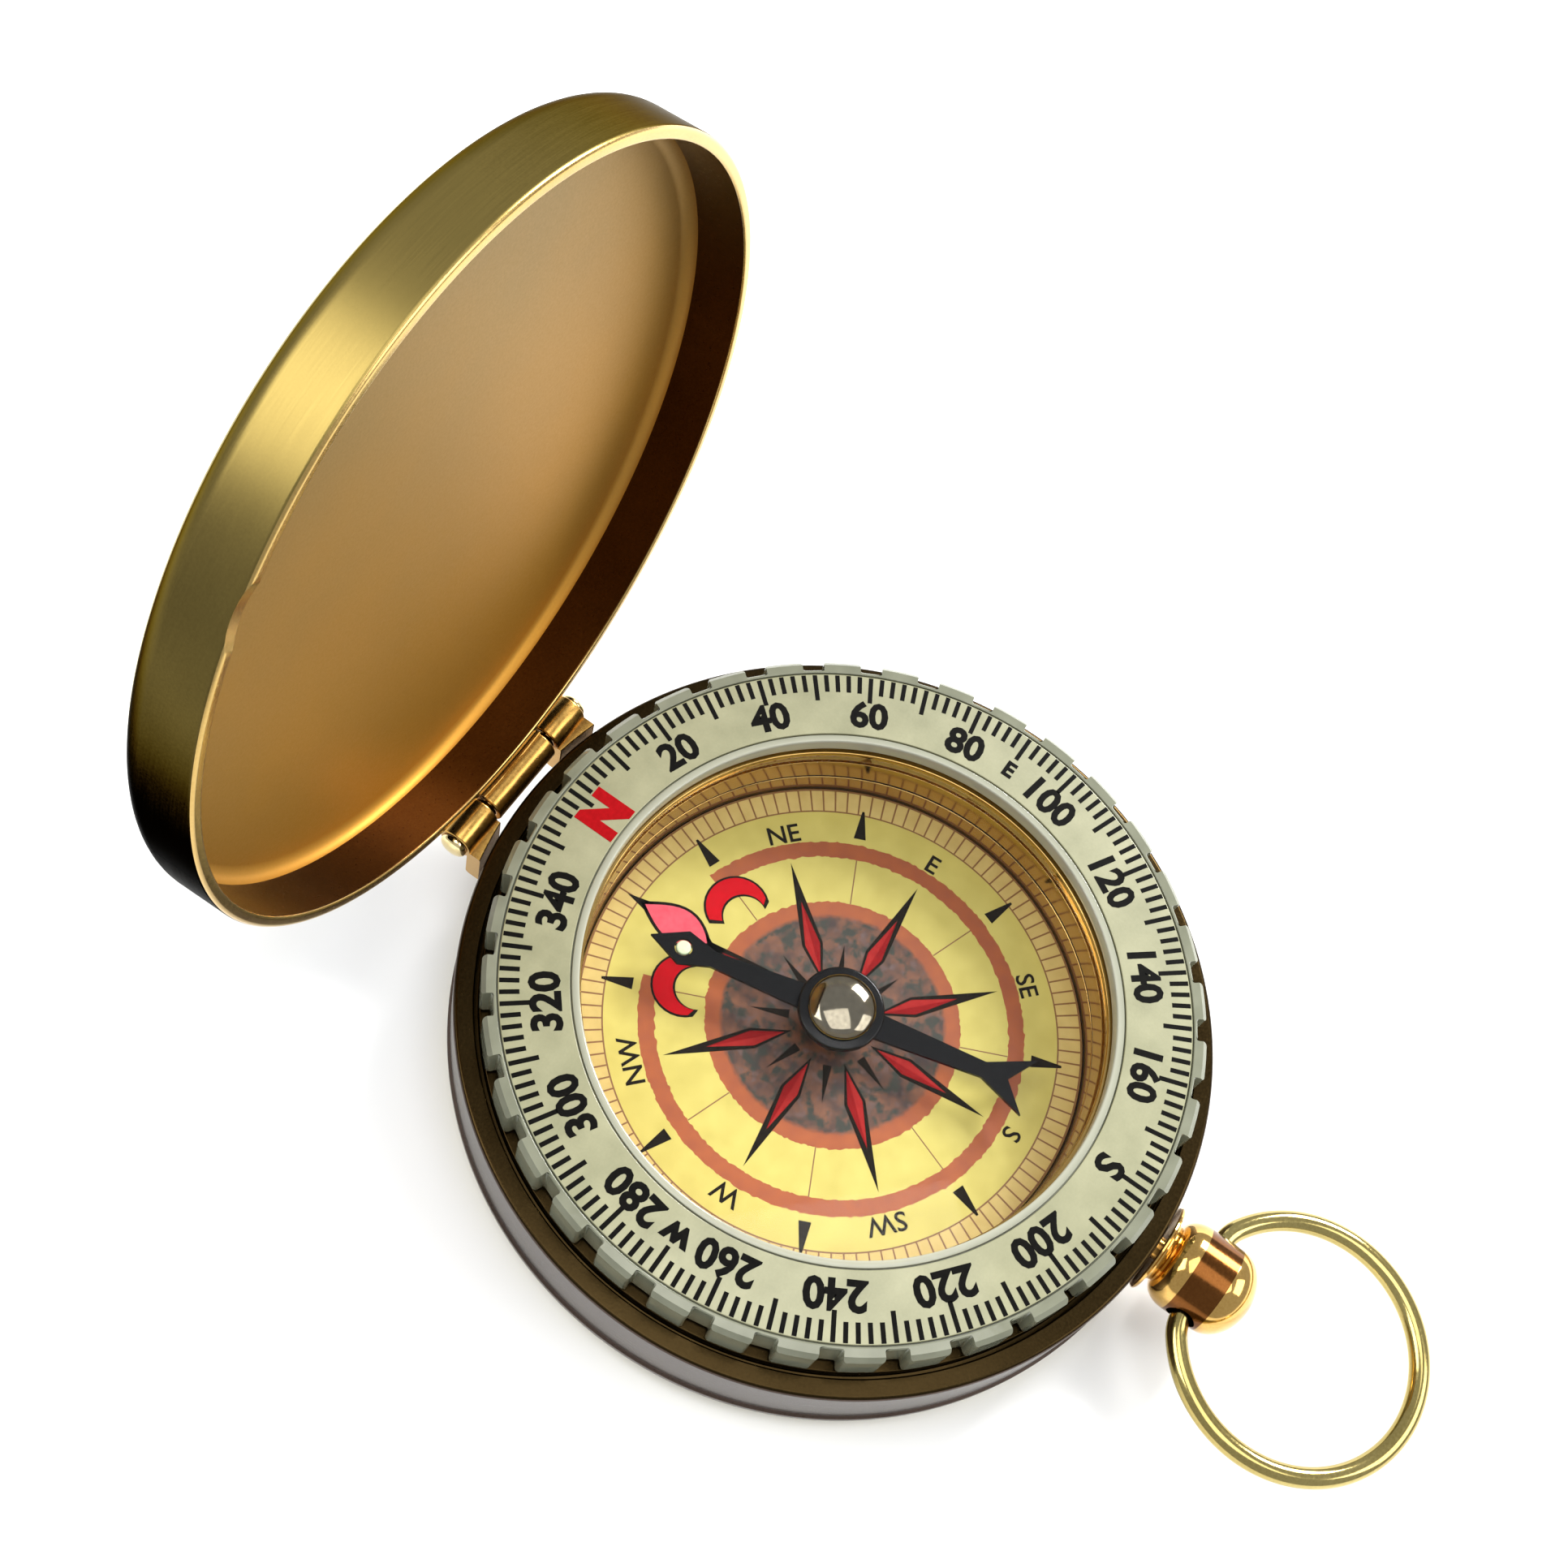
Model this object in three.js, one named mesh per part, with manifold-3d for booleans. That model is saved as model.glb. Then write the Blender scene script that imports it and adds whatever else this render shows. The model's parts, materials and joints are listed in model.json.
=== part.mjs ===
// Survival compass: a shallow pocket case with a flip lid, a turning degree bezel, a dial well with
// a magnetic needle, and a crown that carries a ring. It lies on its back with the lid open.
// Millimetres. The origin is the centre of the back's outer face, +Z is up, +Y points to the hinge,
// and +X is east on the dial.

import * as THREE from 'three';
import { mergeVertices, toCreasedNormals } from 'three/addons/utils/BufferGeometryUtils.js';
import Module from 'manifold-3d';

const wasm = await Module();
wasm.setup();

// Clearances
const turnGap = 0.3; // between pieces that move past each other
const seatGap = 0.1; // between pieces that rest on each other

// Facets round the circle, and steps on each arc of a profile
const caseFacets = 60;
const wellFacets = 48;
const hiddenFacets = 40;
const crownFacets = 28;
const smallFacets = 16;
const arcSteps = 2;

// Dial well
const wellRadius = 17.1;
const cupWall = 0.8;
const cupFloor = 0.8;
const cupReach = 1.7; // wall of the cup above the card
const cardThickness = 0.5;
const dialDepth = 3.4; // from the case rim down to the card

// Bezel
const bezelLipInset = 0.2; // its inner edge lies this far outside the well
const bezelInnerRim = 0.5;
const scaleWidth = 4.65; // width of the recess for the printed ring
const scaleThickness = 0.2;
const bezelOuterRim = 0.25;
const notchCount = 36;
const bezelFacets = 2 * notchCount;
const notchDepth = 0.7;
const notchWidth = 1.5;
const bezelChamfer = 0.3;
const bezelTopThickness = 1.1;
const snapDepth = 0.5; // bead of the collar that the bezel snaps over
const snapHeight = 0.6;
const snapLead = 0.3;

// Case
const caseHeight = 8.2;
const rimWidth = 1.3;
const rimThickness = 0.8;
const rimChamfer = 0.2;
const caseWall = 0.8;
const coverThickness = 0.8;
const coverShoulder = 1.6;
const coverEdge = 0.1; // straight edge above the shoulder
const coverLipWall = 0.7;
const coverLipHeight = 1.2;
const coverBeadDepth = 0.2;
const coverBeadHeight = 0.6;

// Ring that carries the well, the crystal and the bezel
const collarWall = 0.7;
const collarLip = 0.4;
const skirtWall = 0.8;
const footWidth = 2;
const footThickness = 0.8;
const registerThickness = 0.5; // its edge under the case rim
const spacerWidth = 5.6;

// Wave spring under the bezel
const springGrooveDepth = 0.8;
const springGrooveInset = 0.8; // land between the skirt and the groove
const springWidth = 1.6;
const springThickness = 0.2;
const springWaves = 3;
const springPlay = 0.15;

// Needle
const needleAzimuth = -13.8; // degrees clockwise from north
const needleLift = 2.1; // from the card to the blade
const bladeThickness = 0.3;
const needleReach = 13.3; // from the pivot to each tip
const headLength = 4.4;
const headWidth = 2.4;
const headShoulder = 2.3; // from the tip back to the widest place
const armTipWidth = 1.1;
const armHubWidth = 2;
const tailLength = 3.2;
const tailWidth = 4;
const tailNotch = 1.5;
const bladeDiscMargin = 0.2; // the hub overhangs the blade's disc by this
const dotRadius = 0.5;
const hubRadius = 2.9;
const hubThickness = 0.5;
const hubRoof = 0.2;
const hubStemWall = 0.3;
const hubStemDrop = 0.4;
const jewelRadius = 1.1;
const jewelHeight = 0.8;
const jewelRoof = 0.3;
const jewelMouthRadius = 0.7;
const capRadius = 2.3;
const capHeight = 0.8;

// Pivot
const postRadius = 0.5;
const postConeHeight = 0.7;
const postPointRadius = 0.08;
const postBaseRadius = 1.8;
const postBaseThickness = 0.6;
const postCollarRadius = 1.8;
const postCollarHeight = 0.4;

// Crystal
const crystalThickness = 0.8;
const crystalBite = 0.15; // it reaches this far behind the lip of the collar

// Crown
const crownFootRadius = 3.05;
const crownFootThickness = 0.3;
const crownNeckRadius = 1.95;
const crownRadius = 3.05;
const crownNeckLength = 0.55; // from the foot to the barrel
const crownShoulderLength = 1.55; // round stretch from the neck to the band
const crownBand = 2.4; // flat stretch round the barrel
const crownNoseLength = 2.25;
const crownTenonRadius = 0.8;
const crownTenonEnd = 0.3; // tenon beyond the nut
const crownNutRadius = 1.4;
const crownNutThickness = 1;
const threadGap = 0.15;

// Ring
const bowRadius = 8.2; // centre line
const bowWireRadius = 0.7;
const bowTipSide = 3.5; // where the straight tips leave the crown
const bowTipLength = 2.3;
const bowSteps = 40;
const bowSides = 10;

// Hinge
const barrelRadius = 1.2;
const hingePinRadius = 0.45;
const hingeHeadRadius = 0.95;
const hingeHeadHeight = 0.5;
const lidBarrelLength = 6;
const knuckleLength = 3;
const leafThickness = 1;
const leafLength = 3;

// Lid
const seam = 0.3; // between the closed lid and the rim
const lidDepth = 5;
const lidWall = 0.8;
const lidShoulder = 1.6;
const lidOpenAngle = 95.5; // degrees from closed to its stop
const nailNotchAzimuth = 229;
const nailNotchWidth = 4;
const nailNotchHeight = 0.6;

// Places that follow from the sizes
const cardTop = caseHeight - dialDepth;
const cupTop = cardTop + cupReach;
const cupFloorTop = cardTop - cardThickness - seatGap;
const cupBottom = cupFloorTop - cupFloor;
const cupRadius = wellRadius + cupWall;
const collarBottom = cupTop + turnGap;
const collarRadius = wellRadius + collarWall;
const skirtInnerRadius = cupRadius + turnGap;
const skirtRadius = skirtInnerRadius + skirtWall;
const footBottom = coverThickness + seatGap;
const footRadius = skirtRadius + footWidth;

const bezelBore = wellRadius + bezelLipInset;
const recessInner = bezelBore + bezelInnerRim;
const recessOuter = recessInner + scaleWidth;
const notchRootRadius = recessOuter + bezelOuterRim;
const bezelRadius = notchRootRadius + notchDepth;

const rimInnerRadius = bezelRadius + turnGap;
const caseRadius = rimInnerRadius + rimWidth;
const bandInnerRadius = caseRadius - caseWall;
const coverEdgeTop = coverShoulder + coverEdge;
const bandBottom = coverEdgeTop + turnGap;
const registerRadius = bandInnerRadius - turnGap;
const registerTop = caseHeight - rimThickness - seatGap;
const flangeBottom = registerTop - registerThickness;

const bladeBottom = cardTop + needleLift;
const bladeTop = bladeBottom + bladeThickness;
const hubBottom = bladeTop + seatGap;
const hubTop = hubBottom + hubThickness;
const hubBoreRadius = jewelRadius + seatGap;
const hubStemRadius = hubBoreRadius + hubStemWall;
const hubBoreTop = hubTop - hubRoof;
const jewelTop = hubBoreTop - seatGap;
const jewelApex = jewelTop - jewelRoof;
const postTip = jewelApex - turnGap;
const postHoleRadius = postRadius + seatGap;
const capBottom = hubTop + seatGap;
const capTop = capBottom + capHeight;

const crystalBottom = capTop + turnGap;
const crystalTop = crystalBottom + crystalThickness;
const crystalRadius = wellRadius + crystalBite;
const crystalGrooveRadius = crystalRadius + seatGap;
const collarTop = crystalTop + seatGap + collarLip;
const snapRadius = collarRadius + snapDepth;
const snapBottom = collarTop - snapHeight;
const bezelBottom = caseHeight + turnGap;
const bezelLedgeTop = snapBottom - turnGap;
const bezelTopUnderside = collarTop + turnGap;
const bezelTop = bezelTopUnderside + bezelTopThickness;
const scaleTop = bezelTop;
const recessFloor = scaleTop - scaleThickness - seatGap;

const springGrooveInner = skirtRadius + springGrooveInset;
const springGrooveOuter = springGrooveInner + springWidth + 2 * turnGap;
const springGrooveFloor = caseHeight - springGrooveDepth;

const crownAxisHeight = (bandBottom + caseHeight) / 2;
const crownFootStart = caseRadius + turnGap;
const crownFootEnd = crownFootStart + crownFootThickness;
const crownNeckEnd = crownFootEnd + crownNeckLength;
const crownBandStart = crownNeckEnd + crownShoulderLength;
const crownBandEnd = crownBandStart + crownBand;
const crownReach = (crownBandStart + crownBandEnd) / 2; // from the axis of the case to the cross bore
const crownTenonHole = crownTenonRadius + turnGap;
const nutStart = bandInnerRadius - turnGap;

const hingeReach = caseRadius + barrelRadius + turnGap;
const hingeHeight = caseHeight + seam / 2;
const hingeBoreRadius = hingePinRadius + turnGap;
const leafInnerRadius = caseRadius + turnGap;
const leafOuterRadius = leafInnerRadius + leafThickness;
const knuckleStart = lidBarrelLength / 2 + turnGap;
const knuckleEnd = knuckleStart + knuckleLength;

const lidBottom = caseHeight + seam;
const lidTop = lidBottom + lidDepth;
const lidInnerRadius = caseRadius - lidWall;

const full = 2 * Math.PI;
const rightAngle = Math.PI / 2;

// Closed shapes

function tidy(geometry) {
  const bare = geometry.clone();
  for (const attribute of ['normal', 'uv']) {
    bare.deleteAttribute(attribute);
  }
  const merged = mergeVertices(bare, 1e-4);
  const corners = merged.index.array;
  const kept = [];
  for (let i = 0; i < corners.length; i += 3) {
    const [a, b, c] = corners.slice(i, i + 3);
    if (a !== b && b !== c && c !== a) {
      kept.push(a, b, c);
    }
  }
  merged.setIndex(kept);
  return merged;
}

function toSolid(geometry) {
  const merged = tidy(geometry);
  const vertProperties = new Float32Array(merged.getAttribute('position').array);
  const triVerts = new Uint32Array(merged.index.array);
  return new wasm.Manifold(new wasm.Mesh({ numProp: 3, vertProperties, triVerts }));
}

function toGeometry(solid) {
  const { vertProperties, triVerts } = solid.getMesh();
  const geometry = new THREE.BufferGeometry();
  geometry.setAttribute('position', new THREE.BufferAttribute(vertProperties, 3));
  geometry.setIndex(new THREE.BufferAttribute(triVerts, 1));
  return geometry;
}

// Revolves a profile of radius and height about +Z. The profile runs up its outer side.
function turned(profile, facets) {
  const geometry = new THREE.LatheGeometry(profile.getPoints(arcSteps), facets);
  return geometry.rotateX(rightAngle);
}

function outline(points) {
  const path = new THREE.Path();
  path.moveTo(...points[0]);
  for (const point of points.slice(1)) {
    path.lineTo(...point);
  }
  return path;
}

function closedOutline(points) {
  return outline([...points, points[0]]);
}

function turnedRing(inner, outer, bottom, top, facets) {
  const section = closedOutline([[inner, bottom], [outer, bottom], [outer, top], [inner, top]]);
  return turned(section, facets);
}

function turnedDisc(radius, bottom, top, facets) {
  return turned(outline([[0, bottom], [radius, bottom], [radius, top], [0, top]]), facets);
}

function rodAlongX(radius, length) {
  return new THREE.CylinderGeometry(radius, radius, length, smallFacets).rotateZ(rightAngle);
}

// Turns a shape about the case's axis to a compass azimuth, from +Y clockwise.
function toAzimuth(geometry, degrees) {
  return geometry.rotateZ(-THREE.MathUtils.degToRad(degrees));
}

function satin(color, roughness) {
  return new THREE.MeshStandardMaterial({ color, roughness, metalness: 1 });
}

function matt(color, roughness) {
  return new THREE.MeshStandardMaterial({ color, roughness, metalness: 0 });
}

function clear(color, opacity) {
  return new THREE.MeshStandardMaterial({ color, roughness: 0.08, transparent: true, opacity });
}

function addPiece(parent, name, geometry, material) {
  const crease = THREE.MathUtils.degToRad(28);
  const mesh = new THREE.Mesh(toCreasedNormals(tidy(geometry), crease), material);
  mesh.name = name;
  parent.add(mesh);
  return mesh;
}

// Case

function backCover() {
  const profile = outline([[0, 0], [caseRadius - coverShoulder, 0]]);
  profile.absarc(caseRadius - coverShoulder, coverShoulder, coverShoulder, -rightAngle, 0);
  profile.lineTo(caseRadius, coverEdgeTop);
  profile.lineTo(registerRadius, coverEdgeTop);
  profile.lineTo(registerRadius, coverEdgeTop + coverLipHeight);
  profile.lineTo(registerRadius - coverLipWall, coverEdgeTop + coverLipHeight);
  profile.lineTo(registerRadius - coverLipWall, coverThickness);
  profile.lineTo(0, coverThickness);
  return turned(profile, caseFacets);
}

function caseBand() {
  const section = closedOutline([
    [bandInnerRadius, bandBottom],
    [caseRadius + coverBeadDepth, bandBottom],
    [caseRadius + coverBeadDepth, bandBottom + coverBeadHeight],
    [caseRadius, bandBottom + coverBeadHeight + coverBeadDepth],
    [caseRadius, caseHeight - rimChamfer],
    [caseRadius - rimChamfer, caseHeight],
    [rimInnerRadius, caseHeight],
    [rimInnerRadius, caseHeight - rimThickness],
    [bandInnerRadius, caseHeight - rimThickness],
  ]);
  const tenonHole = new THREE.CylinderGeometry(crownTenonHole, crownTenonHole, rimWidth * 2, smallFacets);
  tenonHole.translate(0, -caseRadius, crownAxisHeight);
  return toGeometry(toSolid(turned(section, caseFacets)).subtract(toSolid(tenonHole)));
}

// One turned ring: a foot on the cover, a skirt round the cup, a flange under the bezel, and the
// collar that is the upper wall of the well, with the groove for the crystal and the snap bead.
function bezelSeat() {
  const section = closedOutline([
    [wellRadius, collarBottom],
    [skirtInnerRadius, collarBottom],
    [skirtInnerRadius, footBottom],
    [footRadius, footBottom],
    [footRadius, footBottom + footThickness],
    [skirtRadius, footBottom + footThickness],
    [skirtRadius, flangeBottom],
    [registerRadius, flangeBottom],
    [registerRadius, registerTop],
    [bezelRadius, registerTop],
    [bezelRadius, caseHeight],
    [springGrooveOuter, caseHeight],
    [springGrooveOuter, springGrooveFloor],
    [springGrooveInner, springGrooveFloor],
    [springGrooveInner, caseHeight],
    [collarRadius, caseHeight],
    [collarRadius, snapBottom],
    [snapRadius, snapBottom],
    [snapRadius, collarTop - snapLead],
    [snapRadius - snapLead, collarTop],
    [wellRadius, collarTop],
    [wellRadius, crystalTop + seatGap],
    [crystalGrooveRadius, crystalTop + seatGap],
    [crystalGrooveRadius, crystalBottom - seatGap],
    [wellRadius, crystalBottom - seatGap],
  ]);
  return turned(section, wellFacets);
}

function capsuleSpacer() {
  const outer = skirtInnerRadius - turnGap;
  return turnedRing(outer - spacerWidth, outer, footBottom, cupBottom - seatGap, hiddenFacets);
}

function capsuleCup() {
  const section = closedOutline([
    [postHoleRadius, cupBottom],
    [cupRadius, cupBottom],
    [cupRadius, cupTop],
    [wellRadius, cupTop],
    [wellRadius, cupFloorTop],
    [postHoleRadius, cupFloorTop],
  ]);
  return turned(section, wellFacets);
}

function dialCard() {
  return turnedRing(postHoleRadius, wellRadius - seatGap, cardTop - cardThickness, cardTop, wellFacets);
}

function crystal() {
  return turnedDisc(crystalRadius, crystalBottom, crystalTop, wellFacets);
}

// A washer whose height runs in waves round the axis
function bezelSpring() {
  const inner = springGrooveInner + turnGap;
  const middle = (springGrooveFloor + bezelBottom) / 2;
  const low = middle - springThickness / 2;
  const washer = turnedRing(inner, inner + springWidth, low, low + springThickness, wellFacets);
  const swing = (bezelBottom - springGrooveFloor - springThickness) / 2 - springPlay;
  const position = washer.getAttribute('position');
  for (let i = 0; i < position.count; i += 1) {
    const angle = Math.atan2(position.getY(i), position.getX(i));
    position.setZ(i, position.getZ(i) + swing * Math.cos(springWaves * angle));
  }
  return washer;
}

// Pivot

function pivotPost() {
  const baseTop = cupBottom - seatGap;
  const profile = outline([
    [0, baseTop - postBaseThickness],
    [postBaseRadius, baseTop - postBaseThickness],
    [postBaseRadius, baseTop],
    [postRadius, baseTop],
    [postRadius, postTip - postConeHeight],
    [postPointRadius, postTip],
    [0, postTip],
  ]);
  return turned(profile, smallFacets);
}

function pivotCollar() {
  const bottom = cardTop + seatGap;
  return turnedRing(postHoleRadius, postCollarRadius, bottom, bottom + postCollarHeight, smallFacets);
}

// Needle, drawn pointing to +Y

function needleBlade() {
  const neck = needleReach - headLength;
  const tailNeck = -needleReach + tailLength;
  const right = [
    [armTipWidth / 2, tailNeck],
    [armHubWidth / 2, 0],
    [armTipWidth / 2, neck],
    [headWidth / 2, needleReach - headShoulder],
  ];
  const left = right.map(([x, y]) => [-x, y]).reverse();
  const shape = new THREE.Shape();
  shape.moveTo(0, -needleReach + tailNotch);
  shape.lineTo(tailWidth / 2, -needleReach);
  for (const [x, y] of [...right, [0, needleReach], ...left]) {
    shape.lineTo(x, y);
  }
  shape.lineTo(-tailWidth / 2, -needleReach);
  const arms = new THREE.ExtrudeGeometry(shape, { depth: bladeThickness, bevelEnabled: false });
  arms.translate(0, 0, bladeBottom);
  const disc = turnedDisc(hubRadius - bladeDiscMargin, bladeBottom, bladeTop, smallFacets);
  const stemHole = turnedDisc(hubStemRadius + seatGap, cardTop, hubTop, smallFacets);
  const dotHole = turnedDisc(dotRadius + seatGap, cardTop, hubTop, smallFacets);
  dotHole.translate(0, needleReach - headShoulder, 0);
  const holes = toSolid(stemHole).add(toSolid(dotHole));
  return toGeometry(toSolid(arms).add(toSolid(disc)).subtract(holes));
}

function needleHub() {
  const profile = outline([
    [0, hubBoreTop],
    [hubBoreRadius, hubBoreTop],
    [hubBoreRadius, bladeBottom - hubStemDrop],
    [hubStemRadius, bladeBottom - hubStemDrop],
    [hubStemRadius, hubBottom],
    [hubRadius, hubBottom],
    [hubRadius, hubTop],
    [0, hubTop],
  ]);
  return turned(profile, smallFacets);
}

function needleJewel() {
  const bottom = jewelTop - jewelHeight;
  const profile = outline([
    [0, jewelApex],
    [jewelMouthRadius, bottom],
    [jewelRadius, bottom],
    [jewelRadius, jewelTop],
    [0, jewelTop],
  ]);
  return turned(profile, smallFacets);
}

// A shallow dome whose edge has the cap's radius
function needleCap() {
  const domeRadius = (capRadius ** 2 + capHeight ** 2) / (2 * capHeight);
  const edgeAngle = Math.acos(capRadius / domeRadius);
  const profile = outline([[0, capBottom], [capRadius, capBottom]]);
  profile.absarc(0, capTop - domeRadius, domeRadius, edgeAngle, rightAngle);
  return turned(profile, smallFacets);
}

function needleDot() {
  const dot = turnedDisc(dotRadius, bladeBottom, bladeTop, smallFacets);
  return dot.translate(0, needleReach - headShoulder, 0);
}

// Bezel

// The outline that leaves a square notch at each step of the scale, open beyond the reach
function scallopOutline(reach) {
  const corners = [];
  for (let i = 0; i < notchCount; i += 1) {
    const middle = (i / notchCount) * full;
    const notch = [
      new THREE.Vector2(reach, -notchWidth / 2),
      new THREE.Vector2(notchRootRadius, -notchWidth / 2),
      new THREE.Vector2(notchRootRadius, notchWidth / 2),
      new THREE.Vector2(reach, notchWidth / 2),
    ];
    for (const corner of notch) {
      corners.push(corner.rotateAround(new THREE.Vector2(), middle));
    }
  }
  return new THREE.Shape(corners);
}

function bezelRing() {
  const section = closedOutline([
    [collarRadius + turnGap, bezelBottom],
    [bezelRadius, bezelBottom],
    [bezelRadius, bezelTop - bezelChamfer],
    [bezelRadius - bezelChamfer, bezelTop],
    [recessOuter, bezelTop],
    [recessOuter, recessFloor],
    [recessInner, recessFloor],
    [recessInner, bezelTop],
    [bezelBore, bezelTop],
    [bezelBore, bezelTopUnderside],
    [snapRadius + turnGap, bezelTopUnderside],
    [snapRadius + turnGap, bezelLedgeTop],
    [collarRadius + turnGap, bezelLedgeTop],
  ]);
  const blank = toSolid(turned(section, bezelFacets));
  const reach = bezelRadius + notchDepth;
  const depth = bezelTop - bezelBottom + 2 * turnGap;
  const scallops = new THREE.ExtrudeGeometry(scallopOutline(reach), { depth, bevelEnabled: false });
  scallops.translate(0, 0, bezelBottom - turnGap);
  return toGeometry(blank.intersect(toSolid(scallops)));
}

function bezelScale() {
  const bottom = scaleTop - scaleThickness;
  return turnedRing(recessInner + seatGap, recessOuter - seatGap, bottom, scaleTop, bezelFacets);
}

// Crown and ring

// Lays a shape turned about +Z along -Y, on the crown's axis.
function alongCrown(geometry) {
  return geometry.rotateX(rightAngle).translate(0, 0, crownAxisHeight);
}

function crown() {
  const tenonStart = nutStart - crownNutThickness - crownTenonEnd;
  const profile = outline([
    [0, tenonStart],
    [crownTenonRadius, tenonStart],
    [crownTenonRadius, crownFootStart],
    [crownFootRadius, crownFootStart],
    [crownFootRadius, crownFootEnd],
  ]);
  profile.quadraticCurveTo(crownNeckRadius, crownFootEnd, crownNeckRadius, crownNeckEnd);
  const shoulderWidth = crownRadius - crownNeckRadius;
  profile.absellipse(crownNeckRadius, crownBandStart, shoulderWidth, crownShoulderLength, -rightAngle, 0);
  profile.absellipse(0, crownBandEnd, crownRadius, crownNoseLength, 0, rightAngle);
  const body = toSolid(alongCrown(turned(profile, crownFacets)));
  const bore = rodAlongX(bowWireRadius + turnGap, 3 * crownRadius);
  bore.translate(0, -crownReach, crownAxisHeight);
  return toGeometry(body.subtract(toSolid(bore)));
}

function crownNut() {
  const bore = crownTenonRadius + threadGap;
  return alongCrown(turnedRing(bore, crownNutRadius, nutStart - crownNutThickness, nutStart, smallFacets));
}

// Centre line of the ring: a straight tip, the long arc, and the other tip, in its pivot's frame
class BowCurve extends THREE.Curve {
  getPoint(t, target = new THREE.Vector3()) {
    const drop = Math.sqrt(bowRadius ** 2 - bowTipSide ** 2);
    const startAngle = Math.atan2(drop, bowTipSide);
    const sweep = full - 2 * (rightAngle - startAngle);
    const arcLength = bowRadius * sweep;
    const along = t * (arcLength + 2 * bowTipLength) - bowTipLength;
    if (along < 0) {
      return target.set(bowTipSide + along, 0, 0);
    }
    if (along > arcLength) {
      return target.set(along - arcLength - bowTipSide, 0, 0);
    }
    const angle = startAngle - along / bowRadius;
    return target.set(bowRadius * Math.cos(angle), bowRadius * Math.sin(angle) - drop, 0);
  }
}

function bowRing() {
  const section = new THREE.Shape();
  section.absarc(0, 0, bowWireRadius, 0, full);
  return new THREE.ExtrudeGeometry(section, {
    steps: bowSteps,
    curveSegments: bowSides / 2,
    extrudePath: new BowCurve(),
  });
}

// Hinge

// A barrel on the hinge line with a leaf that lies against the round wall
function hingeLeaf(start, end, leafBottom, leafTop) {
  const length = end - start;
  const middle = (start + end) / 2;
  const barrel = rodAlongX(barrelRadius, length).translate(middle, hingeReach, hingeHeight);
  const bore = rodAlongX(hingeBoreRadius, 2 * length).translate(middle, hingeReach, hingeHeight);
  const shell = turnedRing(leafInnerRadius, leafOuterRadius, leafBottom, leafTop, caseFacets);
  const window = new THREE.BoxGeometry(length, hingeReach, 2 * (leafTop - leafBottom));
  window.translate(middle, hingeReach, (leafBottom + leafTop) / 2);
  const wall = turnedDisc(leafInnerRadius, 0, lidTop, caseFacets);
  const leaf = toSolid(shell).intersect(toSolid(window));
  const joined = leaf.add(toSolid(barrel)).subtract(toSolid(bore));
  return toGeometry(joined.subtract(toSolid(wall)));
}

function hingePin() {
  const headStart = knuckleEnd + seatGap;
  const tip = headStart + hingeHeadHeight;
  const profile = outline([
    [0, -tip],
    [hingePinRadius, -tip],
    [hingeHeadRadius, -headStart - seatGap],
    [hingeHeadRadius, -headStart],
    [hingePinRadius, -headStart],
    [hingePinRadius, headStart],
    [hingeHeadRadius, headStart],
    [hingeHeadRadius, headStart + seatGap],
    [hingePinRadius, tip],
    [0, tip],
  ]);
  const pin = turned(profile, smallFacets).rotateY(rightAngle);
  return pin.translate(0, hingeReach, hingeHeight);
}

// Lid, drawn closed

function lidShell() {
  const innerShoulder = lidShoulder - lidWall;
  const shoulderHeight = lidTop - lidShoulder;
  const cornerRadius = caseRadius - lidShoulder;
  const profile = outline([[0, lidTop - lidWall], [cornerRadius, lidTop - lidWall]]);
  profile.absarc(cornerRadius, shoulderHeight, innerShoulder, rightAngle, 0, true);
  profile.lineTo(lidInnerRadius, lidBottom);
  profile.lineTo(caseRadius, lidBottom);
  profile.absarc(cornerRadius, shoulderHeight, lidShoulder, 0, rightAngle);
  profile.lineTo(0, lidTop);
  const notch = new THREE.BoxGeometry(nailNotchWidth, 4 * lidWall, 2 * nailNotchHeight);
  notch.translate(0, caseRadius, lidBottom);
  const cutter = toSolid(toAzimuth(notch, nailNotchAzimuth));
  return toGeometry(toSolid(turned(profile, caseFacets)).subtract(cutter));
}

// Assembly

const compass = new THREE.Group();
compass.name = 'survival_compass';

addPiece(compass, 'back_cover', backCover(), satin(0xc3b45f, 0.42));
addPiece(compass, 'case_band', caseBand(), satin(0x9c8a62, 0.35));
addPiece(compass, 'bezel_seat', bezelSeat(), satin(0xb08a45, 0.2));
addPiece(compass, 'capsule_spacer', capsuleSpacer(), matt(0x1b1b1c, 0.6));
addPiece(compass, 'capsule_cup', capsuleCup(), satin(0xb9904a, 0.15));
addPiece(compass, 'dial_card', dialCard(), matt(0xd9cc70, 0.55));
addPiece(compass, 'crystal', crystal(), clear(0xeef2ee, 0.12));
addPiece(compass, 'bezel_spring', bezelSpring(), satin(0xb9bcc0, 0.3));
addPiece(compass, 'pivot_post', pivotPost(), satin(0xc9ccd0, 0.2));
addPiece(compass, 'pivot_collar', pivotCollar(), satin(0xc2a45c, 0.3));
addPiece(compass, 'crown', crown(), satin(0xcaa27a, 0.15));
addPiece(compass, 'crown_nut', crownNut(), satin(0xb59b5a, 0.35));
addPiece(compass, 'hinge_pin', hingePin(), satin(0xd8c890, 0.2));

const knuckleBottom = caseHeight - leafLength;
const leftKnuckle = hingeLeaf(-knuckleEnd, -knuckleStart, knuckleBottom, hingeHeight);
const rightKnuckle = hingeLeaf(knuckleStart, knuckleEnd, knuckleBottom, hingeHeight);
addPiece(compass, 'hinge_knuckle_left', leftKnuckle, satin(0xb79a5c, 0.3));
addPiece(compass, 'hinge_knuckle_right', rightKnuckle, satin(0xb79a5c, 0.3));

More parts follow.
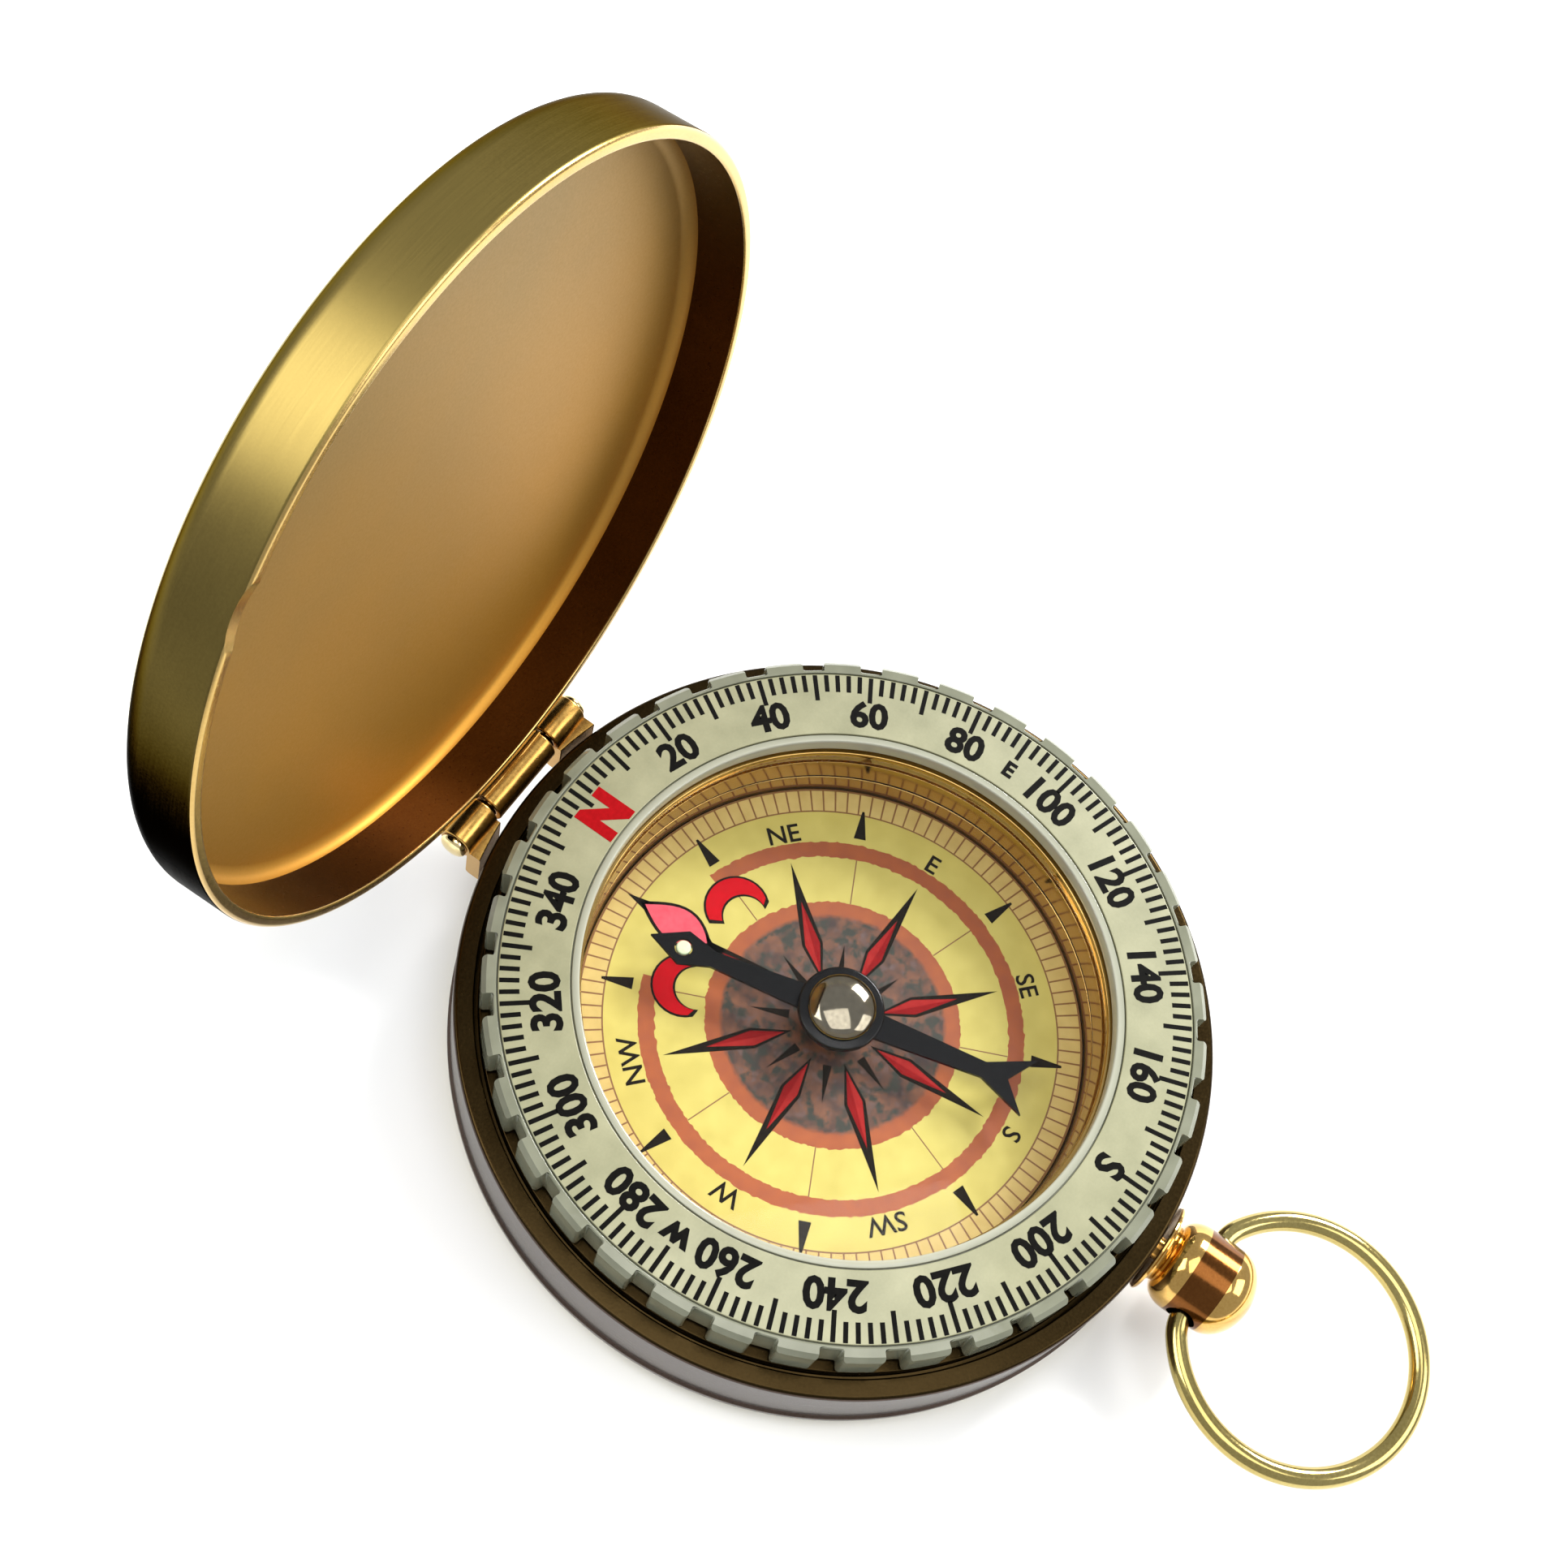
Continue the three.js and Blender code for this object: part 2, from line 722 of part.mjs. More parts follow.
// The lid's group stands on the hinge line and is turned open
const lid = new THREE.Group();
lid.position.set(0, hingeReach, hingeHeight);
lid.rotation.x = -THREE.MathUtils.degToRad(lidOpenAngle);
compass.add(lid);
const lidBarrel = hingeLeaf(-lidBarrelLength / 2, lidBarrelLength / 2, hingeHeight, lidBottom + leafLength);
const lidPieces = [
  addPiece(lid, 'lid_shell', lidShell(), satin(0xa88a50, 0.4)),
  addPiece(lid, 'lid_hinge_barrel', lidBarrel, satin(0xb79a5c, 0.3)),
];
for (const piece of lidPieces) {
  piece.position.set(0, -hingeReach, -hingeHeight);
}

const bezel = new THREE.Group();
compass.add(bezel);
addPiece(bezel, 'bezel_ring', bezelRing(), clear(0xe4e6d8, 0.35));
addPiece(bezel, 'bezel_scale', bezelScale(), matt(0xaab08c, 0.5));

const needle = new THREE.Group();
needle.rotation.z = -THREE.MathUtils.degToRad(needleAzimuth);
compass.add(needle);
addPiece(needle, 'needle_blade', needleBlade(), matt(0x101011, 0.4));
addPiece(needle, 'needle_hub', needleHub(), matt(0x0d0d0e, 0.35));
addPiece(needle, 'needle_jewel', needleJewel(), clear(0xb8405a, 0.8));
addPiece(needle, 'needle_cap', needleCap(), satin(0xd6d6d2, 0.12));
addPiece(needle, 'needle_dot', needleDot(), matt(0xc9dcb0, 0.5));

const bow = new THREE.Group();
bow.position.set(0, -crownReach, crownAxisHeight);
compass.add(bow);
addPiece(bow, 'bow_ring', bowRing(), satin(0xd6c57a, 0.2));

export default compass;
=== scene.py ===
# %% [markdown]
# # A pocket compass with a flip lid
#
# The frame holds the compass as solid pieces at their real size, each on the body that it moves
# with. This script dresses them: every piece that shows gets a fine turned or shaped mesh in the
# same place, a finish of its own, and the printing on the dial and the bezel. It stands on its
# back with the lid open, as in the smaller view of the photograph.

import json
import math

import bmesh
import bpy
from mathutils import Matrix, Vector

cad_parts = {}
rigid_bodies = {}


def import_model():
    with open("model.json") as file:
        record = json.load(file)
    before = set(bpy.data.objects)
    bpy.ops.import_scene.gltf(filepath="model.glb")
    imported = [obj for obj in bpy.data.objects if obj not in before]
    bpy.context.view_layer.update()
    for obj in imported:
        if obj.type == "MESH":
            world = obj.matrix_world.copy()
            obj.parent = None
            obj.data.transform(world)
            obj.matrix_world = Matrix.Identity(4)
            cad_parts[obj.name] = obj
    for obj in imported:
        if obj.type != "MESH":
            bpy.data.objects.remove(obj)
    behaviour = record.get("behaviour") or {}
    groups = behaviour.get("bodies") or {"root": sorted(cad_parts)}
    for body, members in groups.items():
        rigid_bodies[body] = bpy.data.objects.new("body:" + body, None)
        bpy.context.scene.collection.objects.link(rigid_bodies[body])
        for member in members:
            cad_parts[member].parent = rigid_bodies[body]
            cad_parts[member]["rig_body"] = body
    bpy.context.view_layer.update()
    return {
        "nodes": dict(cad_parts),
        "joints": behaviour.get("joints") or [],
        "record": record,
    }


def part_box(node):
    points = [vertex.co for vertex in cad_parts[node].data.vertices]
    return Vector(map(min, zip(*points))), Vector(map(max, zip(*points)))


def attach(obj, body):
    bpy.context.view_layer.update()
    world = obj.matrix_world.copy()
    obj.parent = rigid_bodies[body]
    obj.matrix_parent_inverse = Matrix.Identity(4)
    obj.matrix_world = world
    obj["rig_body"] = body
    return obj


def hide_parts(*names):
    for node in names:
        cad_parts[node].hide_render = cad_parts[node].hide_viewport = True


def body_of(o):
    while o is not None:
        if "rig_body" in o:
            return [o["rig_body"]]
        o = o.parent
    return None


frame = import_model()

# %% [markdown]
# ## Sizes
#
# Blender works in metres, and a compass is easier to think about in millimetres, so the values
# below are in millimetres and are turned into metres where a mesh is made. The outer sizes are
# read from the frame's solids. The walls and clearances inside a solid don't show in its box, so
# they are named here.

# %% Sizes read from the frame
MM = 0.001


def low(node):
    """Height of a solid's underside, in mm."""
    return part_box(node)[0].z / MM


def high(node):
    """Height of a solid's top, in mm."""
    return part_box(node)[1].z / MM


def reach(node):
    """How far a solid reaches along +X, in mm: the radius of a turned one."""
    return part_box(node)[1].x / MM


def joint_named(name):
    return next(joint for joint in frame["joints"] if joint["name"] == name)


case_radius = reach("back_cover")
rim_height = high("case_band")
card_height = high("dial_card")
bezel_radius = reach("bezel_ring")
bezel_low = low("bezel_ring")
bezel_high = high("bezel_ring")
print("case radius", round(case_radius, 2), "rim", round(rim_height, 2), "bezel top", round(bezel_high, 2))

# %% Walls and clearances
turn_gap = 0.3
seat_gap = 0.1
wall = 0.8
shoulder = 1.6
collar_wall = 0.7
snap_depth = 0.5
snap_height = 0.6
register_thickness = 0.5
well_radius = reach("dial_card") + seat_gap
cup_radius = reach("capsule_cup")
collar_radius = well_radius + collar_wall
skirt_inner = cup_radius + turn_gap
skirt_radius = skirt_inner + wall
snap_radius = collar_radius + snap_depth
band_inner = case_radius - wall
register_radius = band_inner - turn_gap
rim_inner = bezel_radius + turn_gap
print("rim is", round(case_radius - rim_inner, 2), "mm wide")

# %% [markdown]
# ## Turning a profile
#
# Nearly every piece of this compass is made on a lathe. A lathe part is drawn as half a section:
# corner points of radius and height, each with the small round that a real edge has. The first
# function turns each corner into an arc, and the lathe sweeps the outline about the upright axis.
# The arcs catch the light along an edge, so even a sharp-looking edge gets a round.

# %% Rounded outlines


def rounded(corners, steps=4):
    """Outline points of a closed section, from corners of (radius, height, round)."""
    points = []
    for i, (r, z, fillet) in enumerate(corners):
        corner = Vector((r, z))
        if fillet == 0:
            points.append(corner)
            continue
        before = (Vector(corners[i - 1][:2]) - corner).normalized()
        after = (Vector(corners[(i + 1) % len(corners)][:2]) - corner).normalized()
        half = before.angle(after) / 2
        centre = corner + (before + after).normalized() * fillet / math.sin(half)
        start = corner + before * fillet / math.tan(half) - centre
        end = corner + after * fillet / math.tan(half) - centre
        first = math.atan2(start.y, start.x)
        turn = math.remainder(math.atan2(end.y, end.x) - first, math.tau)
        for step in range(steps + 1):
            angle = first + turn * step / steps
            points.append(centre + fillet * Vector((math.cos(angle), math.sin(angle))))
    return points


def dome(radius, bottom, height, steps):
    """Outline points of a domed end, from its edge up to the axis."""
    angles = [math.radians(90 * step / steps) for step in range(steps + 1)]
    return [(radius * math.cos(a), bottom + height * math.sin(a)) for a in angles]


square = [(1, 0, 0.1), (2, 0, 0.1), (2, 1, 0.1), (1, 1, 0.1)]
print("a square with rounds has", len(rounded(square)), "points")

# %% Turned meshes


def joined_rows(rows, endless=True):
    """A closed mesh from rows of points in mm. Each row runs round. An endless one's last row
    meets its first, and another gets a face at each end."""
    mesh = bmesh.new()
    made = []
    for row in rows:
        if all(Vector(point).xy.length < 1e-6 for point in row):
            made.append([mesh.verts.new((0, 0, row[0][2] * MM))] * len(row))
        else:
            made.append([mesh.verts.new(Vector(point) * MM) for point in row])
    if endless:
        made.append(made[0])
    else:
        mesh.faces.new(made[0])
        mesh.faces.new(made[-1])
    for row, beyond in zip(made, made[1:]):
        for i in range(len(row)):
            j = (i + 1) % len(row)
            corners = list(dict.fromkeys([row[i], row[j], beyond[j], beyond[i]]))
            if len(corners) > 2:
                mesh.faces.new(corners)
    bmesh.ops.recalc_face_normals(mesh, faces=mesh.faces)
    return mesh


def turned_mesh(outline, segments=216):
    """Sweeps outline points of radius and height, in mm, about +Z."""
    angles = [math.tau * i / segments for i in range(segments)]
    return joined_rows([[(r * math.cos(a), r * math.sin(a), z) for a in angles] for r, z in outline])


def lathe(corners, segments=216, steps=4):
    """Turns half a section, given by its corners and their rounds."""
    return turned_mesh(rounded(corners, steps), segments)


def rod(radius, bottom, top, segments=48, lower=0, upper=0, bore=0):
    """An upright cylinder in mm. Its outer edges may have rounds, and a bore makes it a ring."""
    corners = [(bore, bottom, 0), (radius, bottom, lower), (radius, top, upper), (bore, top, 0)]
    return lathe(corners, segments)


def moved(mesh, matrix):
    bmesh.ops.transform(mesh, matrix=matrix, verts=mesh.verts)
    return mesh


def shift(x, y, z):
    """A move by millimetres."""
    return Matrix.Translation(Vector((x, y, z)) * MM)


# %% Pieces
slots = {row["node"]: row["material_slot"] for row in frame["record"]["subparts"]}


def add_piece(name, mesh, finishes, body, slot, crease=35, soften=0.0):
    """Makes a shaded object of a mesh, on the body that it moves with."""
    data = bpy.data.meshes.new(name)
    mesh.to_mesh(data)
    mesh.free()
    for finish in finishes if isinstance(finishes, list) else [finishes]:
        data.materials.append(finish.material)
    data.shade_smooth()
    data.set_sharp_from_angle(angle=math.radians(crease))
    piece = bpy.data.objects.new(name, data)
    bpy.context.scene.collection.objects.link(piece)
    if soften:
        bevel = piece.modifiers.new("soft edges", "BEVEL")
        bevel.width = soften * MM
        bevel.segments = 2
        bevel.limit_method = "ANGLE"
        bevel.angle_limit = math.radians(crease)
    weighted = piece.modifiers.new("even shading", "WEIGHTED_NORMAL")
    weighted.keep_sharp = not soften
    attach(piece, body)
    return piece


def skin(node, mesh, finishes, name=None, **shading):
    """A piece that stands for a solid of the frame, on the same body."""
    body = body_of(frame["nodes"][node])[0]
    piece = add_piece(f"{name or node}_skin", mesh, finishes, body, slots[node], **shading)
    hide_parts(node)


def dress_faces(mesh, finishes, choice):
    """Gives each face the finish that a rule chooses by the face's middle, in mm, and direction."""
    for face in mesh.faces:
        finish = choice(face.calc_center_median() / MM, face.normal)
        face.material_index = finishes.index(finish)


# %% [markdown]
# ## Cutting and joining
#
# A lathe can't make a nail notch, a cross hole or a hinge leaf. Blender's boolean modifier can,
# and the exact solver keeps the result closed. The two meshes become objects for a moment, and
# only the result is kept.

# %% Cut and join


def combine(mesh, other, operation):
    """DIFFERENCE, UNION or INTERSECT of two closed meshes."""
    objects = []
    for part in (mesh, other):
        data = bpy.data.meshes.new("part")
        part.to_mesh(data)
        part.free()
        objects.append(bpy.data.objects.new("part", data))
        bpy.context.scene.collection.objects.link(objects[-1])
    modifier = objects[0].modifiers.new("part", "BOOLEAN")
    modifier.operation = operation
    modifier.object = objects[1]
    modifier.solver = "EXACT"
    bpy.context.view_layer.update()
    result = bmesh.new()
    result.from_object(objects[0], bpy.context.evaluated_depsgraph_get())
    for leftover in objects:
        bpy.data.objects.remove(leftover)
    return result


def block(width, depth, height):
    """A box in mm, centred on the origin."""
    mesh = bmesh.new()
    bmesh.ops.create_cube(mesh, size=MM)
    return moved(mesh, Matrix.Diagonal((width, depth, height, 1)))


def slab(points, bottom, top):
    """A flat shape with straight sides, from its outline in mm."""
    return joined_rows([[(x, y, z) for x, y in points] for z in (bottom, top)], endless=False)


def gathered(meshes):
    """Puts several meshes in one."""
    whole = bmesh.new()
    for mesh in meshes:
        data = bpy.data.meshes.new("part")
        mesh.to_mesh(data)
        mesh.free()
        whole.from_mesh(data)
        bpy.data.meshes.remove(data)
    return whole


def azimuth_turn(degrees):
    """A turn about the case's axis, clockwise from north (+Y)."""
    return Matrix.Rotation(-math.radians(degrees), 4, "Z")


along_x = Matrix.Rotation(math.radians(90), 4, "Y")
along_y = Matrix.Rotation(math.radians(90), 4, "X")
print("tools for cut pieces ready")

# %% [markdown]
# ## Writing finishes as expressions
#
# A material's pattern is arithmetic on the place of a point, so it reads best as arithmetic. The
# class below wraps a socket, and an operator on it adds the Math node and links it. Colours go
# through Mix nodes, because a Math node would turn them grey. Every other node comes from one
# method, which sets the node first and then fills its sockets.

# %% A socket that can be added and multiplied


class Wire:
    """The output of a node. Operators on it add Math nodes."""

    def __init__(self, finish, socket):
        self.finish = finish
        self.socket = socket

    def math(self, operation, other=0.0, clamp=False):
        settings = {"operation": operation, "use_clamp": clamp}
        return self.finish.node("ShaderNodeMath", settings, {0: self, 1: other})

    def clamped(self):
        return self.math("ADD", clamp=True)

    def __add__(self, other):
        return self.math("ADD", other)

    __radd__ = __add__

    def __mul__(self, other):
        return self.math("MULTIPLY", other)

    __rmul__ = __mul__

    def __sub__(self, other):
        return self.math("SUBTRACT", other)

    def __rsub__(self, other):
        return self * -1 + other

    def __truediv__(self, other):
        return self.math("DIVIDE", other)

    def __lt__(self, other):
        return self.math("LESS_THAN", other)

    def __gt__(self, other):
        return self.math("GREATER_THAN", other)


# %% A finish and its nodes


class Finish:
    """A material on the Principled shader. The colours that it mixes are in steps of 0 to 255."""

    def __init__(self, name, **constants):
        self.material = bpy.data.materials.new(name)
        self.material.use_nodes = True
        self.tree = self.material.node_tree
        self.shader = self.tree.nodes["Principled BSDF"]
        for socket, value in constants.items():
            self.feed(socket.replace("_", " "), value)

    def fill(self, socket, value):
        """Sets a socket, or links a wire to it."""
        if isinstance(value, Wire):
            self.tree.links.new(value.socket, socket)
        else:
            socket.default_value = value

    def feed(self, socket, value):
        self.fill(self.shader.inputs[socket], value)

    def node(self, kind, settings, sockets, output=0):
        """Adds a node: its settings first, then the values or links of its sockets."""
        node = self.tree.nodes.new(kind)
        for setting, value in settings.items():
            setattr(node, setting, value)
        for socket, value in sockets.items():
            self.fill(node.inputs[socket], value)
        return Wire(self, node.outputs[output])

    def place(self):
        """The point's place in the compass's frame, in mm."""
        metres = self.node("ShaderNodeTexCoord", {}, {}, "Object")
        return self.node("ShaderNodeVectorMath", {"operation": "SCALE"}, {0: metres, "Scale": 1 / MM})

    def polar(self):
        """Distance from the case's axis in mm, and azimuth in turns clockwise from north."""
        place = self.place()
        x, y = (self.node("ShaderNodeSeparateXYZ", {}, {0: place}, axis) for axis in "XY")
        radius = (x * x + y * y).math("SQRT")
        return radius, x.math("ARCTAN2", y) / math.tau

    def noise(self, spots_per_mm, detail=2.0, stretch=(1, 1, 1)):
        """Soft random values from 0 to 1, with a spot size set in mm."""
        place = self.node("ShaderNodeVectorMath", {"operation": "MULTIPLY"}, {0: self.place(), 1: stretch})
        sockets = {"Vector": place, "Scale": spots_per_mm, "Detail": detail}
        return self.node("ShaderNodeTexNoise", {}, sockets)

    def mix(self, share, first, second):
        """A colour between two, by a share from 0 to 1."""
        colours = {6: first, 7: second}
        for socket, colour in colours.items():
            if not isinstance(colour, Wire):
                colours[socket] = (*((step / 255) ** 2.2 for step in colour), 1)
        return self.node("ShaderNodeMix", {"data_type": "RGBA"}, {0: share, **colours}, 2)

    def colour(self, share, first, second):
        self.feed("Base Color", self.mix(share, first, second))

    def bump(self, height, depth):
        """Feeds a height of 0 to 1 to the shader's normal, so many mm deep."""
        self.feed("Normal", self.node("ShaderNodeBump", {}, {"Height": height, "Distance": depth * MM}))


print("finish tools ready")

# %% [markdown]
# ## Camera
#
# The camera stands where the photograph's camera stood for the open view: above the case's west
# side and near it, so the lid looms and the ring tapers. Its azimuth is counted clockwise from the
# hinge, and it is rolled so that the hinge lies to the upper left. The place and the focal length
# come from fitting the known circles of the case to the photograph.

# %% Camera
camera_azimuth = math.radians(255.14)
camera_elevation = math.radians(63.39)
camera_roll = math.radians(21.18)
camera_distance = 150.61
camera_right = 2.49
camera_up = -17.78
focal_pixels = 1212.0
framed_pixels = 858.7
sensor_width = 36.0

level = math.cos(camera_elevation)
toward = Vector((
    math.sin(camera_azimuth) * level,
    math.cos(camera_azimuth) * level,
    math.sin(camera_elevation),
))
side = Vector((0, 0, 1)).cross(toward).normalized()
over = toward.cross(side)
right = side * math.cos(camera_roll) + over * math.sin(camera_roll)
up = over * math.cos(camera_roll) - side * math.sin(camera_roll)
camera_place = toward * camera_distance - right * camera_right - up * camera_up

camera_data = bpy.data.cameras.new("camera")
camera_data.sensor_width = sensor_width
camera_data.lens = sensor_width * focal_pixels / framed_pixels
camera_data.clip_start = 5 * MM
camera = bpy.data.objects.new("camera", camera_data)
camera.matrix_world = shift(*camera_place) @ Matrix((right, up, toward)).transposed().to_4x4()
bpy.context.scene.collection.objects.link(camera)
bpy.context.scene.camera = camera
print("camera at", [round(v, 1) for v in camera_place], "mm, lens", round(camera_data.lens, 1), "mm")

# %% [markdown]
# ## Floor and light
#
# The photograph has a plain white ground. A broad pale floor and soft boxes give a soft shadow.
# Metal shows what is round it, so the sky behind the boxes stays dim: the gaps between the boxes
# draw the dark bands that make gold read as gold. The standard view keeps the colours as mixed.

# %% Floor
floor_finish = Finish("floor_paper", Roughness=0.9, Base_Color=(0.92, 0.92, 0.91, 1))
floor_mesh = bmesh.new()
bmesh.ops.create_grid(floor_mesh, x_segments=1, y_segments=1, size=3.0)
floor_data = bpy.data.meshes.new("floor")
floor_mesh.to_mesh(floor_data)
floor_mesh.free()
floor_data.materials.append(floor_finish.material)
floor = bpy.data.objects.new("floor", floor_data)
bpy.context.scene.collection.objects.link(floor)
print("floor is", floor.dimensions.x, "m wide")

# %% Soft boxes and sky


def soft_box(name, place, size, power):
    """A square area light, placed in mm and aimed at the compass."""
    data = bpy.data.lights.new(name, "AREA")
    data.size = size * MM
    data.energy = power
    light = bpy.data.objects.new(name, data)
    aim = -Vector(place)
    light.matrix_world = shift(*place) @ aim.to_track_quat("-Z", "Y").to_matrix().to_4x4()
    bpy.context.scene.collection.objects.link(light)


soft_box("key", (-150, 300, 380), 260, 1.2)
soft_box("side", (300, -40, 220), 130, 2.1)
soft_box("front", (120, -330, 300), 260, 0.8)
soft_box("top", (-40, -40, 560), 340, 1.0)

world = bpy.data.worlds.new("studio")
world.use_nodes = True
sky = world.node_tree.nodes["Background"]
sky.inputs["Color"].default_value = (0.9, 0.92, 0.95, 1)
sky.inputs["Strength"].default_value = 0.62
bpy.context.scene.world = world
bpy.context.scene.view_settings.view_transform = "Standard"

# %% [markdown]
# ## Plated metal
#
# The case and the lid are stamped brass with a thin gold-coloured plating. Up close the plating is
# not even: it has a fine speckle, slow clouds of lighter and darker tone where hands have polished
# it, and brush lines. One function makes all the plated metals, so that they match and differ only
# in tone, in polish and in the way they were brushed. On the open lid the tone also runs from dark
# to light with height, which is painted light and shade: the lid's wall is painted dark low down and
# light high up, and its floor is painted orange low down as a painted reflection. The lid's wall
# mirrors little of the floor. The case wall is partly, and the rim, the lid's inner wall and the
# crown's band are wholly, darkened as painted shade.

# %% Plated finishes


def plated(
    name, light, dark, roughness,
    speckle=0.1, brush=(1, 1, 1), depth=0.003, metal=1.0, painted_light_climb=None, glare=1.0,
):
    """Metal that runs between two tones. A small brush value stretches the lines along that axis.
    With a painted_light_climb, the tone also runs from dark to light between two heights in mm,
    which paints light and shade by height. Glare is how strongly the metal mirrors at a flat angle."""
    finish = Finish(name, Metallic=metal, Specular_Tint=(glare, glare, glare, 1))
    cloud = finish.noise(0.1, 3.0)
    grain = finish.noise(7.0)
    lines = finish.noise(5.0, 3.0, brush)
    tone = (cloud * 1.1 + grain * 0.5 + lines * 0.3 - 0.45).clamped()
    # Painted light and shade by height: the tone is darker low down and lighter high up.
    if painted_light_climb:
        height = finish.node("ShaderNodeSeparateXYZ", {}, {0: finish.place()}, "Z")
        tone = ((height - painted_light_climb[0]) / (painted_light_climb[1] - painted_light_climb[0]) + (tone - 0.5) * 0.3).clamped()
    finish.colour(tone, dark, light)
    finish.feed("Roughness", roughness + (lines - 0.5) * 0.14 + (grain - 0.5) * speckle)
    finish.bump(lines + grain * 0.6, depth)
    return finish


level_lines = (0.06, 0.06, 4)
lid_lines = (0.06, 3, 0.06)
polished = {"speckle": 0.03, "depth": 0.0006}
cover_gold = plated("cover_gold", (174, 160, 88), (154, 139, 70), 0.44, metal=0.8)
# The case wall is a duller brushed tone of its own, darkened further as painted shade.
wall_gold_with_painted_shade = plated("wall_gold_with_painted_shade", (88, 76, 69), (56, 47, 42), 0.3, brush=level_lines)
# The rim is painted near black-brown as shade: the dark band round the bezel.
rim_gold_painted_shade = plated("rim_gold_painted_shade", (66, 54, 34), (38, 30, 18), 0.24, 0.04)
well_gold = plated("well_gold", (206, 172, 104), (164, 128, 70), 0.12, **polished)
# The lid's floor is orange low down and tan high up: the orange is a painted reflection of the dial and bezel
# below it.
lid_inside_painted_reflection = plated("lid_gold", (130, 108, 64), (180, 128, 46), 0.5, depth=0.0016, metal=0.7, painted_light_climb=(8, 56))
# The lid's inner wall is painted dark brown as shade.
lid_inner_wall_painted_shade = plated("lid_inner_wall_gold", (84, 56, 28), (50, 31, 15), 0.3, 0.04, depth=0.0006)
# The lid's outer wall runs from near black low down to a lighter olive gold high up: painted shade below,
# painted light above.
lid_wall_painted_light_and_shade = plated(
    "lid_wall_gold", (140, 122, 70), (30, 24, 15), 0.34, 0.04, lid_lines,
    depth=0.0012, painted_light_climb=(38, 60), glare=0.2,
)
lid_edge = plated("lid_edge_gold", (206, 176, 112), (172, 138, 78), 0.24, 0.03)
crown_gold = plated("crown_gold", (226, 186, 112), (178, 134, 66), 0.1, **polished)
# The crown's flat band is painted dark brown as a dark reflection.
band_painted_dark_reflection = plated("crown_band_gold_painted_dark_reflection", (126, 82, 44), (82, 48, 24), 0.14, **polished)
hinge_gold = plated("hinge_gold", (210, 170, 96), (160, 114, 54), 0.24, 0.03, depth=0.001)
pin_gold = plated("pin_gold", (250, 232, 180), (226, 196, 128), 0.1, 0.02, depth=0.0006)
bow_gold = plated("bow_gold", (196, 180, 118), (150, 130, 72), 0.13, 0.03, depth=0.001)
print("plated finishes ready")

# %% [markdown]
# ## The case
#
# The case is a stamped back cover that snaps into a band. The groove between them and the bead
# above it are what shows from the side. The band's top turns inwards as a flat rim round the
# bezel. The cover is satin gold, the wall is a duller brushed tone darkened further as painted
# shade, and the rim is darker still, as painted shade.

# %% Back cover
cover_edge = low("case_band") - turn_gap
cover_lip_wall = 0.7
cover_lip = register_radius - cover_lip_wall
cover_mesh = lathe([
    (0, 0, 0),
    (case_radius, 0, shoulder),
    (case_radius, cover_edge, 0.04),
    (register_radius, cover_edge, 0.04),
    (register_radius, high("back_cover"), 0.1),
    (cover_lip, high("back_cover"), 0.1),
    (cover_lip, wall, 0.1),
    (0, wall, 0),
], steps=8)
skin("back_cover", cover_mesh, cover_gold)
print("cover edge at", round(cover_edge, 2), "mm")

# %% Band and rim
bead_radius = reach("case_band")
band_low = low("case_band")
bead_height = 0.6
bead_top = band_low + bead_height
band_mesh = lathe([
    (band_inner, band_low, 0.05),
    (bead_radius, band_low, 0.14),
    (bead_radius, bead_top, 0.14),
    (case_radius, bead_top + bead_radius - case_radius, 0.1),
    (case_radius, rim_height, 0.3),
    (rim_inner, rim_height, 0.12),
    (rim_inner, rim_height - wall, 0.05),
    (band_inner, rim_height - wall, 0),
])


# The rim's faces take the dark tone that is painted shade.
def band_finish(middle, facing):
    on_rim = middle.z > rim_height - 0.1 or middle.xy.length < band_inner - 0.1
    return rim_gold_painted_shade if on_rim else wall_gold_with_painted_shade


dress_faces(band_mesh, [wall_gold_with_painted_shade, rim_gold_painted_shade], band_finish)
skin("case_band", band_mesh, [wall_gold_with_painted_shade, rim_gold_painted_shade])
print("band from", round(band_low, 2), "to", round(rim_height, 2), "mm")

# %% [markdown]
# ## The dial well
#
# Under the bezel a turned ring carries everything: its flange lies under the bezel, and its collar
# is the upper wall of the well. Below it, the cup holds the printed card. Both are polished, so
# the wall of the well mirrors the dial. The thin dark line in the photograph is the gap between
# the cup and the collar.

